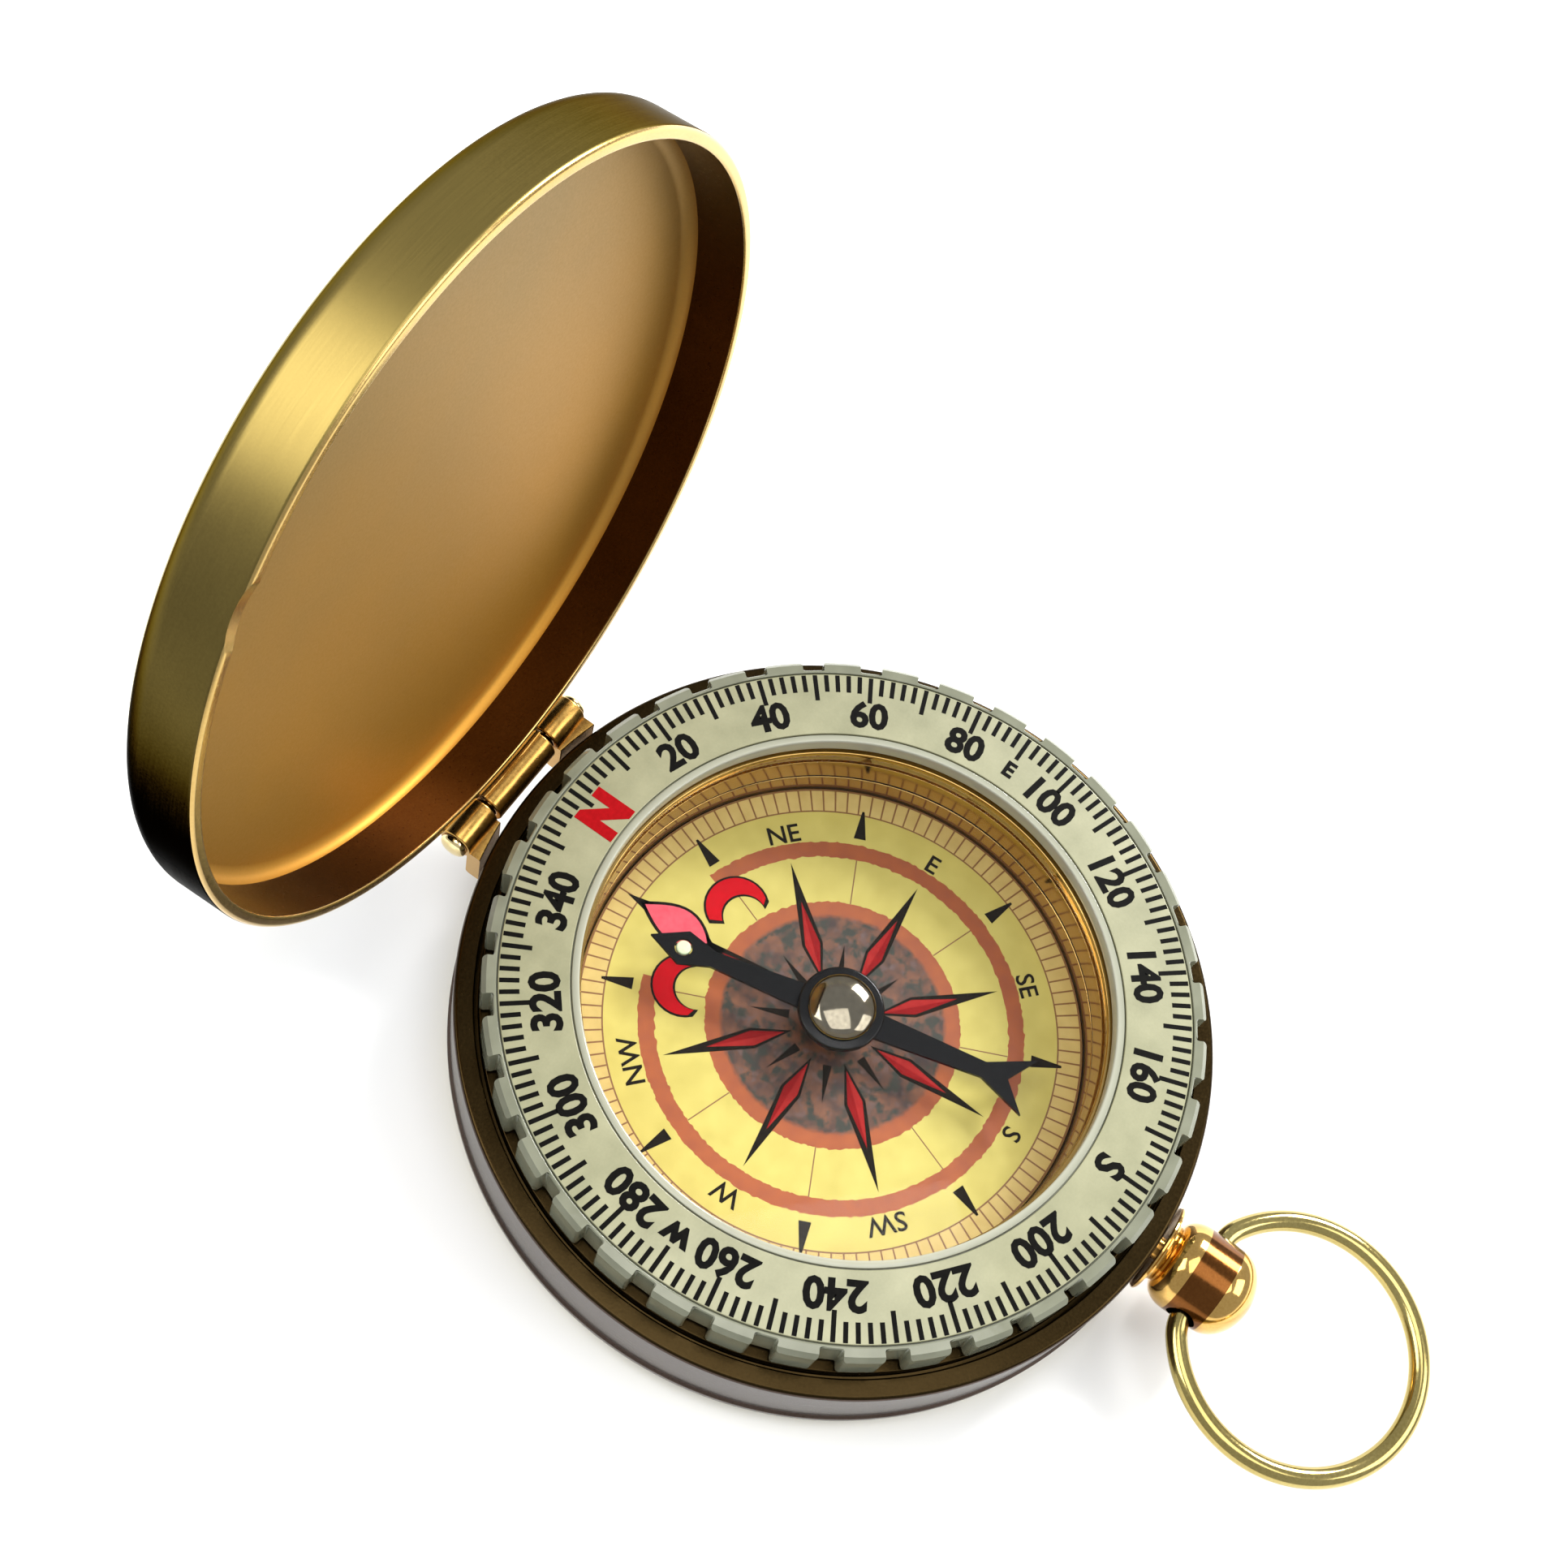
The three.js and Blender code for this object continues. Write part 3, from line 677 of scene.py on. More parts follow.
# %% Bezel seat
collar_high = high("bezel_seat")
collar_low = high("capsule_cup") + turn_gap
snap_low = collar_high - snap_height
snap_lead = 0.3
groove_low = low("crystal") - seat_gap
groove_high = high("crystal") + seat_gap
groove_radius = reach("crystal") + seat_gap
foot_low = low("bezel_seat")
foot_width = 2
foot_radius = skirt_radius + foot_width
register_high = rim_height - wall - seat_gap
flange_low = register_high - register_thickness
spring_land = 0.8
spring_groove = 2.2
spring_inner = skirt_radius + spring_land
spring_outer = spring_inner + spring_groove
seat_mesh = lathe([
    (well_radius, collar_low, 0.06),
    (skirt_inner, collar_low, 0.02),
    (skirt_inner, foot_low, 0.05),
    (foot_radius, foot_low, 0.05),
    (foot_radius, foot_low + wall, 0.05),
    (skirt_radius, foot_low + wall, 0.05),
    (skirt_radius, flange_low, 0.05),
    (register_radius, flange_low, 0.05),
    (register_radius, register_high, 0.05),
    (bezel_radius, register_high, 0.05),
    (bezel_radius, rim_height, 0.1),
    (spring_outer, rim_height, 0.05),
    (spring_outer, rim_height - wall, 0.05),
    (spring_inner, rim_height - wall, 0.05),
    (spring_inner, rim_height, 0.05),
    (collar_radius, rim_height, 0.05),
    (collar_radius, snap_low, 0.02),
    (snap_radius, snap_low, 0.05),
    (snap_radius, collar_high - snap_lead, 0.05),
    (snap_radius - snap_lead, collar_high, 0.05),
    (well_radius, collar_high, 0.08),
    (well_radius, groove_high, 0.02),
    (groove_radius, groove_high, 0.02),
    (groove_radius, groove_low, 0.02),
    (well_radius, groove_low, 0.03),
])


# The flange outside the collar takes the rim's dark tone, painted shade.
def seat_finish(middle, facing):
    return rim_gold_painted_shade if middle.xy.length > collar_radius + 0.1 else well_gold


dress_faces(seat_mesh, [well_gold, rim_gold_painted_shade], seat_finish)
skin("bezel_seat", seat_mesh, [well_gold, rim_gold_painted_shade])
print("well depth", round(collar_high - card_height, 2), "mm")

# %% Cup
cup_floor = low("dial_card") - seat_gap
post_hole = 0.6
cup_mesh = lathe([
    (post_hole, low("capsule_cup"), 0),
    (cup_radius, low("capsule_cup"), 0.3),
    (cup_radius, high("capsule_cup"), 0.08),
    (well_radius, high("capsule_cup"), 0.08),
    (well_radius, cup_floor, 0.05),
    (post_hole, cup_floor, 0),
])
skin("capsule_cup", cup_mesh, well_gold)
print("gap line at", round(high("capsule_cup"), 2), "mm")

# %% [markdown]
# ## The lid
#
# The lid is a shallow stamped cup of one sheet: the same wall all over, a rounded shoulder, and a
# nail notch in its rim, which hands have worn to a shallow dip. It is drawn closed on the case,
# where its sizes are plain, and then swung open about the hinge by the angle that the joint's range
# gives. Its top matches the back cover, its outer wall is brushed and dark, with painted shade low
# down and painted light high up, its thin rim is polished by use, and inside it has a satin floor
# with an orange painted reflection low down and a wall painted brown as shade.

# %% Lid shell
hinge_place = Vector(joint_named("lid_hinge")["pos_m"])
open_degrees = joint_named("lid_hinge")["range_deg"][1]
swing_open = (
    Matrix.Translation(hinge_place)
    @ Matrix.Rotation(-math.radians(open_degrees), 4, "X")
    @ Matrix.Translation(-hinge_place)
)
seam = 2 * (hinge_place.z / MM - rim_height)
lid_depth = 5
lid_low = rim_height + seam
lid_high = lid_low + lid_depth
lid_inner_radius = case_radius - wall
lid_mesh = lathe([
    (0, lid_high - wall, 0),
    (lid_inner_radius, lid_high - wall, shoulder - wall),
    (lid_inner_radius, lid_low, 0.2),
    (case_radius, lid_low, 0.3),
    (case_radius, lid_high, shoulder),
    (0, lid_high, 0),
], 288, 10)

notch_width = 4.0
notch_height = 0.3
notch_azimuth = 229
notch_curve = notch_width**2 / 8 / notch_height + notch_height / 2
notch_place = azimuth_turn(notch_azimuth) @ shift(0, case_radius, lid_low + notch_height - notch_curve)
roller = moved(rod(notch_curve, -2 * wall, 2 * wall, 216), notch_place @ along_y)
lid_mesh = combine(lid_mesh, roller, "DIFFERENCE")


def lid_finish(middle, facing):
    if middle.z > lid_high - shoulder:
        faces_out = facing.z > -0.05 and facing.xy.dot(middle.xy) > 0
        return cover_gold if facing.z > 0.75 else lid_wall_painted_light_and_shade if faces_out else lid_inside_painted_reflection
    in_notch = middle.z < lid_low + notch_height and abs(facing.z) > 0.5
    if middle.z < lid_low + 0.08 or in_notch:
        return lid_edge
    if abs(middle.xy.length - lid_inner_radius) < 0.05:
        return lid_inner_wall_painted_shade
    return lid_wall_painted_light_and_shade if middle.xy.length > case_radius - wall / 2 else lid_inside_painted_reflection


lid_finishes = [lid_inside_painted_reflection, lid_wall_painted_light_and_shade, lid_edge, lid_inner_wall_painted_shade, cover_gold]
dress_faces(lid_mesh, lid_finishes, lid_finish)
skin("lid_shell", moved(lid_mesh, swing_open), lid_finishes, "lid")
print("lid open by", round(open_degrees, 1), "degrees")

# %% [markdown]
# ## The hinge
#
# Two knuckles on the case and a longer one on the lid share one pin. Each knuckle is a short tube
# with a leaf that lies against the round wall, so it is made as the real one is: the leaf is cut
# from a ring, joined to the tube, and the pin hole is bored through both. The right knuckle is the
# left one's mirror image.

# %% Knuckles
hinge_y, hinge_z = hinge_place.y / MM, hinge_place.z / MM
barrel_radius = high("hinge_knuckle_left") - hinge_z
pin_radius = 0.45
bore_radius = pin_radius + turn_gap
leaf_thickness = 1
leaf_inner = case_radius + turn_gap
leaf_outer = leaf_inner + leaf_thickness


def tube(inner, outer, length, edge):
    """A tube along X, centred on the origin, with rounded ends."""
    start, end = -length / 2, length / 2
    section = [(inner, start, edge), (outer, start, edge), (outer, end, edge), (inner, end, edge)]
    return moved(lathe(section, 64), along_x)


def knuckle(start, end, leaf_low, leaf_high):
    """A tube on the hinge line with its leaf, between two places along X."""
    length, middle = end - start, (start + end) / 2
    on_hinge = shift(middle, hinge_y, hinge_z)
    ring = lathe([
        (leaf_inner, leaf_low, 0.1),
        (leaf_outer, leaf_low, 0.3),
        (leaf_outer, leaf_high, 0.1),
        (leaf_inner, leaf_high, 0.1),
    ], 360)
    window = block(length, 4 * leaf_thickness, 4 * (leaf_high - leaf_low))
    leaf = combine(ring, moved(window, shift(middle, leaf_inner, leaf_high)), "INTERSECT")
    barrel = moved(tube(bore_radius, barrel_radius, length, 0.12), on_hinge)
    bore = moved(rod(bore_radius, -length, length, 64), on_hinge @ along_x)
    return combine(combine(leaf, barrel, "UNION"), bore, "DIFFERENCE")


leaf_foot = low("hinge_knuckle_left")
left_span = [corner.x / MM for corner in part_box("hinge_knuckle_left")]
left_knuckle = knuckle(*left_span, leaf_foot, hinge_z)
right_knuckle = moved(left_knuckle.copy(), Matrix.Diagonal((-1, 1, 1, 1)))
bmesh.ops.reverse_faces(right_knuckle, faces=right_knuckle.faces)
print("knuckle faces:", len(left_knuckle.faces))
skin("hinge_knuckle_left", left_knuckle, hinge_gold, "knuckle_left")
skin("hinge_knuckle_right", right_knuckle, hinge_gold, "knuckle_right")
lid_span = [corner.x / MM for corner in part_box("lid_hinge_barrel")]
lid_knuckle = knuckle(*lid_span, hinge_z, lid_low + rim_height - leaf_foot)
skin("lid_hinge_barrel", moved(lid_knuckle, swing_open), hinge_gold, "lid_barrel")
print("lid knuckle is", round(lid_span[1] - lid_span[0], 2), "mm long")

# %% Pin
pin_tip = reach("hinge_pin")
head_height = 0.5
head_edge = 0.1
head_radius = 0.95
head_start = pin_tip - head_height
upper_half = [
    (pin_radius, head_start),
    (head_radius, head_start),
    *dome(head_radius, head_start + head_edge, head_height - head_edge, 6),
]
pin_outline = [(r, -z) for r, z in reversed(upper_half)] + upper_half
pin_mesh = moved(turned_mesh(pin_outline, 48), shift(0, hinge_y, hinge_z) @ along_x)
skin("hinge_pin", pin_mesh, pin_gold)
print("pin is", round(2 * pin_tip, 2), "mm long")

# %% [markdown]
# ## Crown and ring
#
# The crown is turned from one rod: a thin foot, a short neck, and a barrel with a flat band
# round it whose hard dark stripe is a painted dark reflection. The wire ring springs into a hole
# across the barrel. Its two tips bend inwards, so the wire is swept along a straight tip, the long
# arc and the other tip.

# %% Crown
ring_place = Vector(joint_named("ring_swing")["pos_m"]) / MM
crown_end = -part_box("crown")[0].y / MM
crown_radius = reach("crown")
crown_edge = 0.1
foot_start = case_radius + turn_gap
foot_thickness = 0.3
foot_end = foot_start + foot_thickness
neck_radius = 1.95
neck_length = 0.55
neck_end = foot_end + neck_length
band_width = 2.4
band_start = -ring_place.y - band_width / 2
band_end = band_start + band_width
tenon_start = -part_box("crown")[1].y / MM
tenon_radius = 0.8
round_steps = 12
back_round = dome(band_start - neck_end, neck_radius, crown_radius - neck_radius, round_steps)
crown_outline = [
    (0, tenon_start),
    (tenon_radius, tenon_start),
    (tenon_radius, foot_start),
    (crown_radius - crown_edge, foot_start),
    (crown_radius, foot_start + crown_edge),
    (crown_radius, foot_end - crown_edge),
    (crown_radius - crown_edge, foot_end),
    (neck_radius + 0.2, foot_end + 0.05),
    *((r, band_start - back) for back, r in back_round),
    *dome(crown_radius, band_end, crown_end - band_end, round_steps),
]
wire_radius = (high("bow_ring") - low("bow_ring")) / 2
bore_end = 1.5 * crown_radius
crown_mesh = moved(turned_mesh(crown_outline, 96), shift(0, 0, ring_place.z) @ along_y)
cross_bore = moved(rod(wire_radius + turn_gap, -bore_end, bore_end, 64), shift(*ring_place) @ along_x)
crown_mesh = combine(crown_mesh, cross_bore, "DIFFERENCE")


# The band's faces get the painted dark reflection.
def crown_finish(middle, facing):
    return band_painted_dark_reflection if band_start < -middle.y < band_end else crown_gold


dress_faces(crown_mesh, [crown_gold, band_painted_dark_reflection], crown_finish)
skin("crown", crown_mesh, [crown_gold, band_painted_dark_reflection], crease=25)
print("crown reaches", round(crown_end, 2), "mm from the axis")

# %% Ring
ring_radius = reach("bow_ring") - wire_radius
tip_side = 3.5
tip_length = 2.3
ring_drop = math.sqrt(ring_radius**2 - tip_side**2)
ring_start = math.atan2(ring_drop, tip_side)
arc_length = ring_radius * (math.pi + 2 * ring_start)
path_steps = 240
wire_sides = 20


def ring_point(along):
    """A point of the wire's middle line, at a distance in mm from where one tip ends."""
    if along < 0:
        return Vector((tip_side + along, 0, 0))
    if along > arc_length:
        return Vector((along - arc_length - tip_side, 0, 0))
    angle = ring_start - along / ring_radius
    return Vector((ring_radius * math.cos(angle), ring_radius * math.sin(angle) - ring_drop, 0))


def smooth_ring_point(along, bend=0.7):
    """The same, with the bends at the tips rounded by averaging along the wire."""
    spots = [ring_point(along + bend * step / 4) for step in range(-4, 5)]
    return sum(spots, Vector()) / len(spots)


wire_angles = [math.tau * i / wire_sides for i in range(wire_sides)]
wire_rows = []
for step in range(path_steps + 1):
    along = (arc_length + 2 * tip_length) * step / path_steps - tip_length
    middle = ring_place + smooth_ring_point(along)
    ahead = (smooth_ring_point(along + 0.1) - smooth_ring_point(along - 0.1)).normalized()
    outward = Vector((ahead.y, -ahead.x, 0))
    wire_rows.append([
        middle + wire_radius * (outward * math.cos(a) + Vector((0, 0, 1)) * math.sin(a)) for a in wire_angles
    ])
skin("bow_ring", joined_rows(wire_rows, endless=False), bow_gold)
print("ring radius", round(ring_radius, 2), "wire radius", round(wire_radius, 2))

# %% [markdown]
# ## The clear bezel
#
# The bezel is a moulded clear ring with a notch at every ten degrees. Its outline isn't round, so
# a plain lathe won't do: each row of points follows the scalloped outline with its own small
# rounds, and the inner rows are circles. The plastic is clear but slightly green, lets the metal
# below show through its edge, and is lightened on the thin lip round the well as a painted highlight.

# %% Scalloped outline
notch_count = 36
bezel_notch = 1.5
notch_depth = 0.7
root_radius = bezel_radius - notch_depth
root_round = 0.15
crest_round = 0.22
notch_half = bezel_notch / 2
crest_shoulder = math.sqrt(bezel_radius**2 - notch_half**2)
crest_steps = 5


def half_notch():
    """Points from the middle of a notch to the middle of the crest: (outward, sideways) in mm."""
    points = [(root_radius, 0.0), (root_radius, 0.3)]
    corner = [(1 - math.cos(a), 1 - math.sin(a)) for a in (math.radians(30 * step) for step in range(4))]
    for near, far in corner:
        points.append((root_radius + root_round * near, notch_half - root_round * far))
    for near, far in corner:
        points.append((crest_shoulder - crest_round * far, notch_half + crest_round * near))
    crest_start = math.asin((notch_half + crest_round) / bezel_radius)
    crest_end = math.pi / notch_count
    for step in range(1, crest_steps + 1):
        angle = crest_start + (crest_end - crest_start) * step / crest_steps
        points.append((bezel_radius * math.cos(angle), bezel_radius * math.sin(angle)))
    return points


half_period = half_notch()
period = [(u, -v) for u, v in reversed(half_period[1:-1])] + half_period
scallops = []
for i in range(notch_count):
    turn = math.tau * i / notch_count
    for u, v in period:
        scallops.append((math.hypot(u, v), turn + math.atan2(v, u)))
print("outline points:", len(scallops))

# %% Bezel ring
recess_outer = reach("bezel_scale") + seat_gap
lip_inset = 0.2
lip_width = 0.5
bezel_bore = well_radius + lip_inset
recess_inner = bezel_bore + lip_width
recess_floor = low("bezel_scale") - seat_gap
lip_underside = collar_high + turn_gap
ledge_high = snap_low - turn_gap
top_chamfer = 0.3
bezel_edge = 0.07
top_outer = bezel_radius - top_chamfer
even_angles = [scallops[0][1] + math.tau * i / len(scallops) for i in range(len(scallops))]


def scallop_row(inset, height_at):
    """The scalloped outline, moved inwards, at a height that may depend on the radius."""
    row = []
    for radius, angle in scallops:
        r = min(radius - inset, top_outer) if inset > bezel_edge else radius - inset
        row.append((r * math.cos(angle), r * math.sin(angle), height_at(radius)))
    return row


inner_corners = rounded([
    (root_radius - 0.1, bezel_low, 0),
    (collar_radius + turn_gap, bezel_low, 0.05),
    (collar_radius + turn_gap, ledge_high, 0.03),
    (snap_radius + turn_gap, ledge_high, 0.03),
    (snap_radius + turn_gap, lip_underside, 0.05),
    (bezel_bore, lip_underside, 0.05),
    (bezel_bore, bezel_high, 0.14),
    (recess_inner, bezel_high, 0.05),
    (recess_inner, recess_floor, 0.02),
    (recess_outer, recess_floor, 0.02),
    (recess_outer, bezel_high, 0.05),
    (root_radius - 0.1, bezel_high, 0),
])
bezel_rows = [[(r * math.cos(a), r * math.sin(a), z) for a in even_angles] for r, z in inner_corners]
bezel_rows += [
    scallop_row(bezel_edge + 0.001, lambda radius: bezel_high),
    scallop_row(0, lambda radius: bezel_high - max(bezel_edge, radius - top_outer)),
    scallop_row(0, lambda radius: bezel_low + bezel_edge),
    scallop_row(bezel_edge, lambda radius: bezel_low),
]

clear_plastic = Finish("bezel_clear", Roughness=0.06, IOR=1.49, Transmission_Weight=0.35)
plastic_tone = clear_plastic.mix(clear_plastic.noise(0.5), (118, 120, 101), (158, 160, 138))
# The thin lip round the well is lightened towards near white as a painted highlight.
lip_painted_highlight = (recess_inner + 0.3 - clear_plastic.polar()[0]).clamped()
clear_plastic.colour(lip_painted_highlight, plastic_tone, (206, 206, 186))
clear_plastic.bump(clear_plastic.noise(1.5), 0.004)
skin("bezel_ring", joined_rows(bezel_rows), clear_plastic)
print("bezel faces:", len(bezel_rows) * len(scallops))

# %% [markdown]
# ## The printed scale
#
# A pale green ring lies in the bezel's recess, printed with a stroke every two degrees, a longer
# one every ten, numbers every twenty, and letters for the four quarters. The ink is modelled as
# thin raised shapes: they stay sharp at any distance, and they move with the bezel. The numbers
# come from Blender's own letter shapes, thickened, because the real ones are bold.

# %% Scale ring
scale_outer = reach("bezel_scale")
scale_inner = recess_inner + seat_gap
scale_low = low("bezel_scale")
scale_high = high("bezel_scale")
scale_print = Finish("scale_print", Roughness=0.38, Coat_Weight=0.5, Coat_Roughness=0.08)
scale_tone = (scale_print.noise(0.35, 3.0) * 1.3 + scale_print.noise(6.0) * 0.25 - 0.3).clamped()
scale_print.colour(scale_tone, (118, 118, 88), (152, 150, 118))
scale_print.bump(scale_print.noise(4.0), 0.004)
scale_mesh = lathe([
    (scale_inner, scale_low, 0.02),
    (scale_outer, scale_low, 0.02),
    (scale_outer, scale_high, 0.06),
    (scale_inner, scale_high, 0.06),
])
skin("bezel_scale", scale_mesh, scale_print)
print("scale ring", round(scale_inner, 2), "to", round(scale_outer, 2), "mm")

# %% Inks
ink_height = 0.015


def ink(name, light, dark):
    """Printing ink: one colour, a little thinner in places."""
    finish = Finish(name, Roughness=0.55, Specular_IOR_Level=0.05)
    finish.colour(finish.noise(3.0, 3.0), dark, light)
    finish.bump(finish.noise(12.0), 0.003)
    return finish


black_ink = ink("black_ink", (24, 23, 20), (8, 8, 8))
red_ink = ink("red_ink", (166, 18, 26), (126, 8, 14))
print("inks: black, red")

# %% Strokes
stroke_margin = 0.08
stroke_outer = scale_outer - stroke_margin
short_stroke = 1.25
long_stroke = 1.9
stroke_half = 0.15
degrees_per_stroke = 2
strokes = []
for degrees in range(0, 360, degrees_per_stroke):
    inner = stroke_outer - (long_stroke if degrees % 10 == 0 else short_stroke)
    corners = [
        (-stroke_half, inner),
        (stroke_half, inner),
        (stroke_half, stroke_outer),
        (-stroke_half, stroke_outer),
    ]
    strokes.append(moved(slab(corners, scale_high, scale_high + ink_height), azimuth_turn(degrees)))
add_piece("scale_strokes", gathered(strokes), black_ink, "bezel", "scale_print")
print("strokes:", 360 // degrees_per_stroke)

# %% Numbers and letters
letter_extrude = 0.01


def lettering(words, height, bold):
    """Words as thin raised shapes in mm, centred, with capitals of the given height."""
    curve = bpy.data.curves.new("words", "FONT")
    curve.body = words
    curve.align_x = "CENTER"
    curve.align_y = "CENTER"
    curve.offset = bold
    curve.extrude = letter_extrude
    curve.resolution_u = 3
    holder = bpy.data.objects.new("words", curve)
    bpy.context.scene.collection.objects.link(holder)
    bpy.context.view_layer.update()
    data = bpy.data.meshes.new_from_object(holder.evaluated_get(bpy.context.evaluated_depsgraph_get()))
    mesh = bmesh.new()
    mesh.from_mesh(data)
    bpy.data.objects.remove(holder)
    bpy.data.meshes.remove(data)
    bmesh.ops.remove_doubles(mesh, verts=mesh.verts, dist=1e-5)
    lowest, highest = (choose(v.co.y for v in mesh.verts) for choose in (min, max))
    moved(mesh, Matrix.Translation((0, -(lowest + highest) / 2, 0)))
    scale = height / (highest - lowest) * MM
    return moved(mesh, Matrix.Diagonal((scale, scale, ink_height * MM / letter_extrude / 2, 1)))


number_radius = 19.45
scale_words = [(str(degrees), degrees, 2.05, 0.036) for degrees in range(20, 360, 20) if degrees != 180]
scale_words += [("S", 180, 2.05, 0.036), ("E", 90, 1.2, 0.04), ("w", 270, 1.3, 0.045), ("N", 0, 2.9, 0.07)]
printed = [
    moved(
        lettering(words, height, bold),
        azimuth_turn(azimuth) @ shift(0, number_radius, scale_high + ink_height / 2),
    )
    for words, azimuth, height, bold in scale_words
]
add_piece("scale_numbers", gathered(printed[:-1]), black_ink, "bezel", "scale_print")
add_piece("scale_north", printed[-1], red_ink, "bezel", "scale_print")
print("numbers and letters:", len(printed))

# %% [markdown]
# ## The dial card
#
# The card is printed paper: a mottled brown disc in the middle, yellow and orange-brown rings, and
# a border of small tan boxes. Rings and boxes depend only on the distance from the middle and on
# the direction, so the material works them out. The figures that need a sharp shape are thin
# raised shapes on top: the star's blades, the wedges, the letters and the lily at north.

# %% Card rings
card_turn = -3.1
disc_edge = 8.6
disc_inside = 7.5
ring_inner = 11.9
ring_outer = 13.0
boxes_inner = 15.3
boxes_outer = 16.9
box_count = 120
line_share = 0.14
line_half = 0.055
lily_half_turn = 19 / 360
card = Finish("dial_print", Roughness=0.5, Coat_Weight=0.25, Coat_Roughness=0.15)
radius, direction = card.polar()
direction = direction - card_turn / 360
fibre = card.noise(5.0, 3.0)
wander = radius + (card.noise(2.5) - 0.5) * 0.35

yellow = card.mix(card.noise(0.6, 3.0), (178, 164, 72), (208, 196, 102))
orange = card.mix(card.noise(1.2, 3.0), (132, 58, 12), (168, 84, 20))
tan = card.mix(card.noise(1.0, 3.0), (182, 154, 82), (212, 190, 116))
line = card.mix(fibre, (104, 66, 30), (140, 98, 50))
brown = card.mix((card.noise(0.9, 4.0) * 3 - 1).clamped(), (50, 30, 20), (112, 68, 40))
violet = card.mix((card.noise(1.4, 3.0) * 6 - 3.3).clamped(), brown, (92, 70, 64))
olive = card.mix((card.noise(1.2, 4.0) * 8 - 3.9).clamped(), violet, (34, 37, 20))
print("card nodes so far:", len(card.tree.nodes))

# %% Card pattern


def between(value, start, end):
    """1 where a value lies between two others, else 0."""
    return (value > start) * (value < end)


in_boxes = between(radius, boxes_inner, boxes_outer)
box_line = ((direction * box_count).math("FRACT") < line_share) * in_boxes
inner_line = between(radius, boxes_inner - 0.05, boxes_inner + 0.06)
outer_line = between(radius, boxes_outer - 0.06, boxes_outer + 0.08)
odd_place = (direction * 8).math("FRACT") - 0.5
spokes = (odd_place.math("ABSOLUTE") * radius < line_half) * between(radius, disc_edge, ring_inner)
open_north = direction.math("ABSOLUTE") > lily_half_turn

pattern = card.mix(in_boxes, yellow, tan)
pattern = card.mix((box_line + inner_line + outer_line).clamped(), pattern, line)
pattern = card.mix(between(wander, ring_inner, ring_outer) * open_north, pattern, orange)
pattern = card.mix(spokes, pattern, line)
pattern = card.mix(wander < disc_edge, pattern, orange)
card.colour(((disc_inside + 0.2 - wander) * 3).clamped(), pattern, olive)
card.bump(fibre, 0.006)
card_mesh = rod(reach("dial_card"), low("dial_card"), card_height, 216, 0.05, 0.05, post_hole)
skin("dial_card", card_mesh, card)
print("card nodes:", len(card.tree.nodes))

# %% Star
star_black = ink("star_black", (40, 34, 26), (18, 16, 14))
star_red = ink("star_red", (172, 52, 48), (136, 30, 32))
star_shade = ink("star_shade", (150, 34, 34), (112, 20, 24))
blade_root = 2.9
blade_widest = 5.6
blade_half = 0.72
blade_tip = 11.6
red_root = 3.4
red_tip = 8.7
red_half = 0.52
small_root, small_tip, small_half = 3.0, 5.6, 0.3


def on_card(points, level, azimuth):
    """A printed shape, drawn towards north. Each level of ink lies on the one below."""
    bottom = card_height + level * ink_height
    return moved(slab(points, bottom, bottom + ink_height), azimuth_turn(azimuth + card_turn))


outlines, lights, shades = [], [], []
for azimuth in range(0, 360, 45):
    blade = [(0, blade_root), (blade_half, blade_widest), (0, blade_tip), (-blade_half, blade_widest)]
    outlines.append(on_card(blade, 0, azimuth))
    lights.append(on_card([(0, red_root), (0, red_tip), (-red_half, blade_widest)], 1, azimuth))
    shades.append(on_card([(0, red_root), (red_half, blade_widest), (0, red_tip)], 1, azimuth))
for azimuth in range(0, 360, 45):
    small = [(-small_half, small_root), (small_half, small_root), (0, small_tip)]
    outlines.append(on_card(small, 0, azimuth + 22.5))
add_piece("star_outline", gathered(outlines), star_black, "case", "dial_print")
add_piece("star_lit_sides", gathered(lights), star_red, "case", "dial_print")
add_piece("star_shaded_sides", gathered(shades), star_shade, "case", "dial_print")
print("star blades:", len(lights))

# %% Wedges and letters
wedge_base, wedge_tip, wedge_half, wedge_end = 13.5, 15.6, 0.42, 0.08
wedge = [(-wedge_half, wedge_base), (wedge_half, wedge_base), (wedge_end, wedge_tip), (-wedge_end, wedge_tip)]
wedges = [on_card(wedge, 0, azimuth + 22.5) for azimuth in range(0, 360, 45)]
letter_radius = 13.75
letter_height = 1.3
for i, words in enumerate(("NE", "E", "SE", "S", "SW", "W", "NW")):
    place = azimuth_turn(45 * (i + 1) + card_turn) @ shift(0, letter_radius, card_height + ink_height / 2)
    wedges.append(moved(lettering(words, letter_height, 0.012), place))
add_piece("card_letters", gathered(wedges), star_black, "case", "dial_print")
print("wedges and letters:", len(wedges))

# %% Lily at north
petal_pink = ink("petal_pink", (230, 104, 116), (204, 72, 88))
petal_red = ink("petal_red", (206, 26, 38), (166, 10, 22))


def mirrored(points):
    """Adds the left half of a shape whose right half runs upwards."""
    return points + [(-x, y) for x, y in reversed(points)]


def almond(start, end, half_width, steps=12):
    """A petal pointed at both ends, from one radius to the other."""
    places = [step / steps for step in range(1, steps)]
    flank = [(half_width * math.sin(math.pi * t**0.85), start + (end - start) * t) for t in places]
    return [(0, start), *flank, (0, end), *((-x, y) for x, y in reversed(flank))]


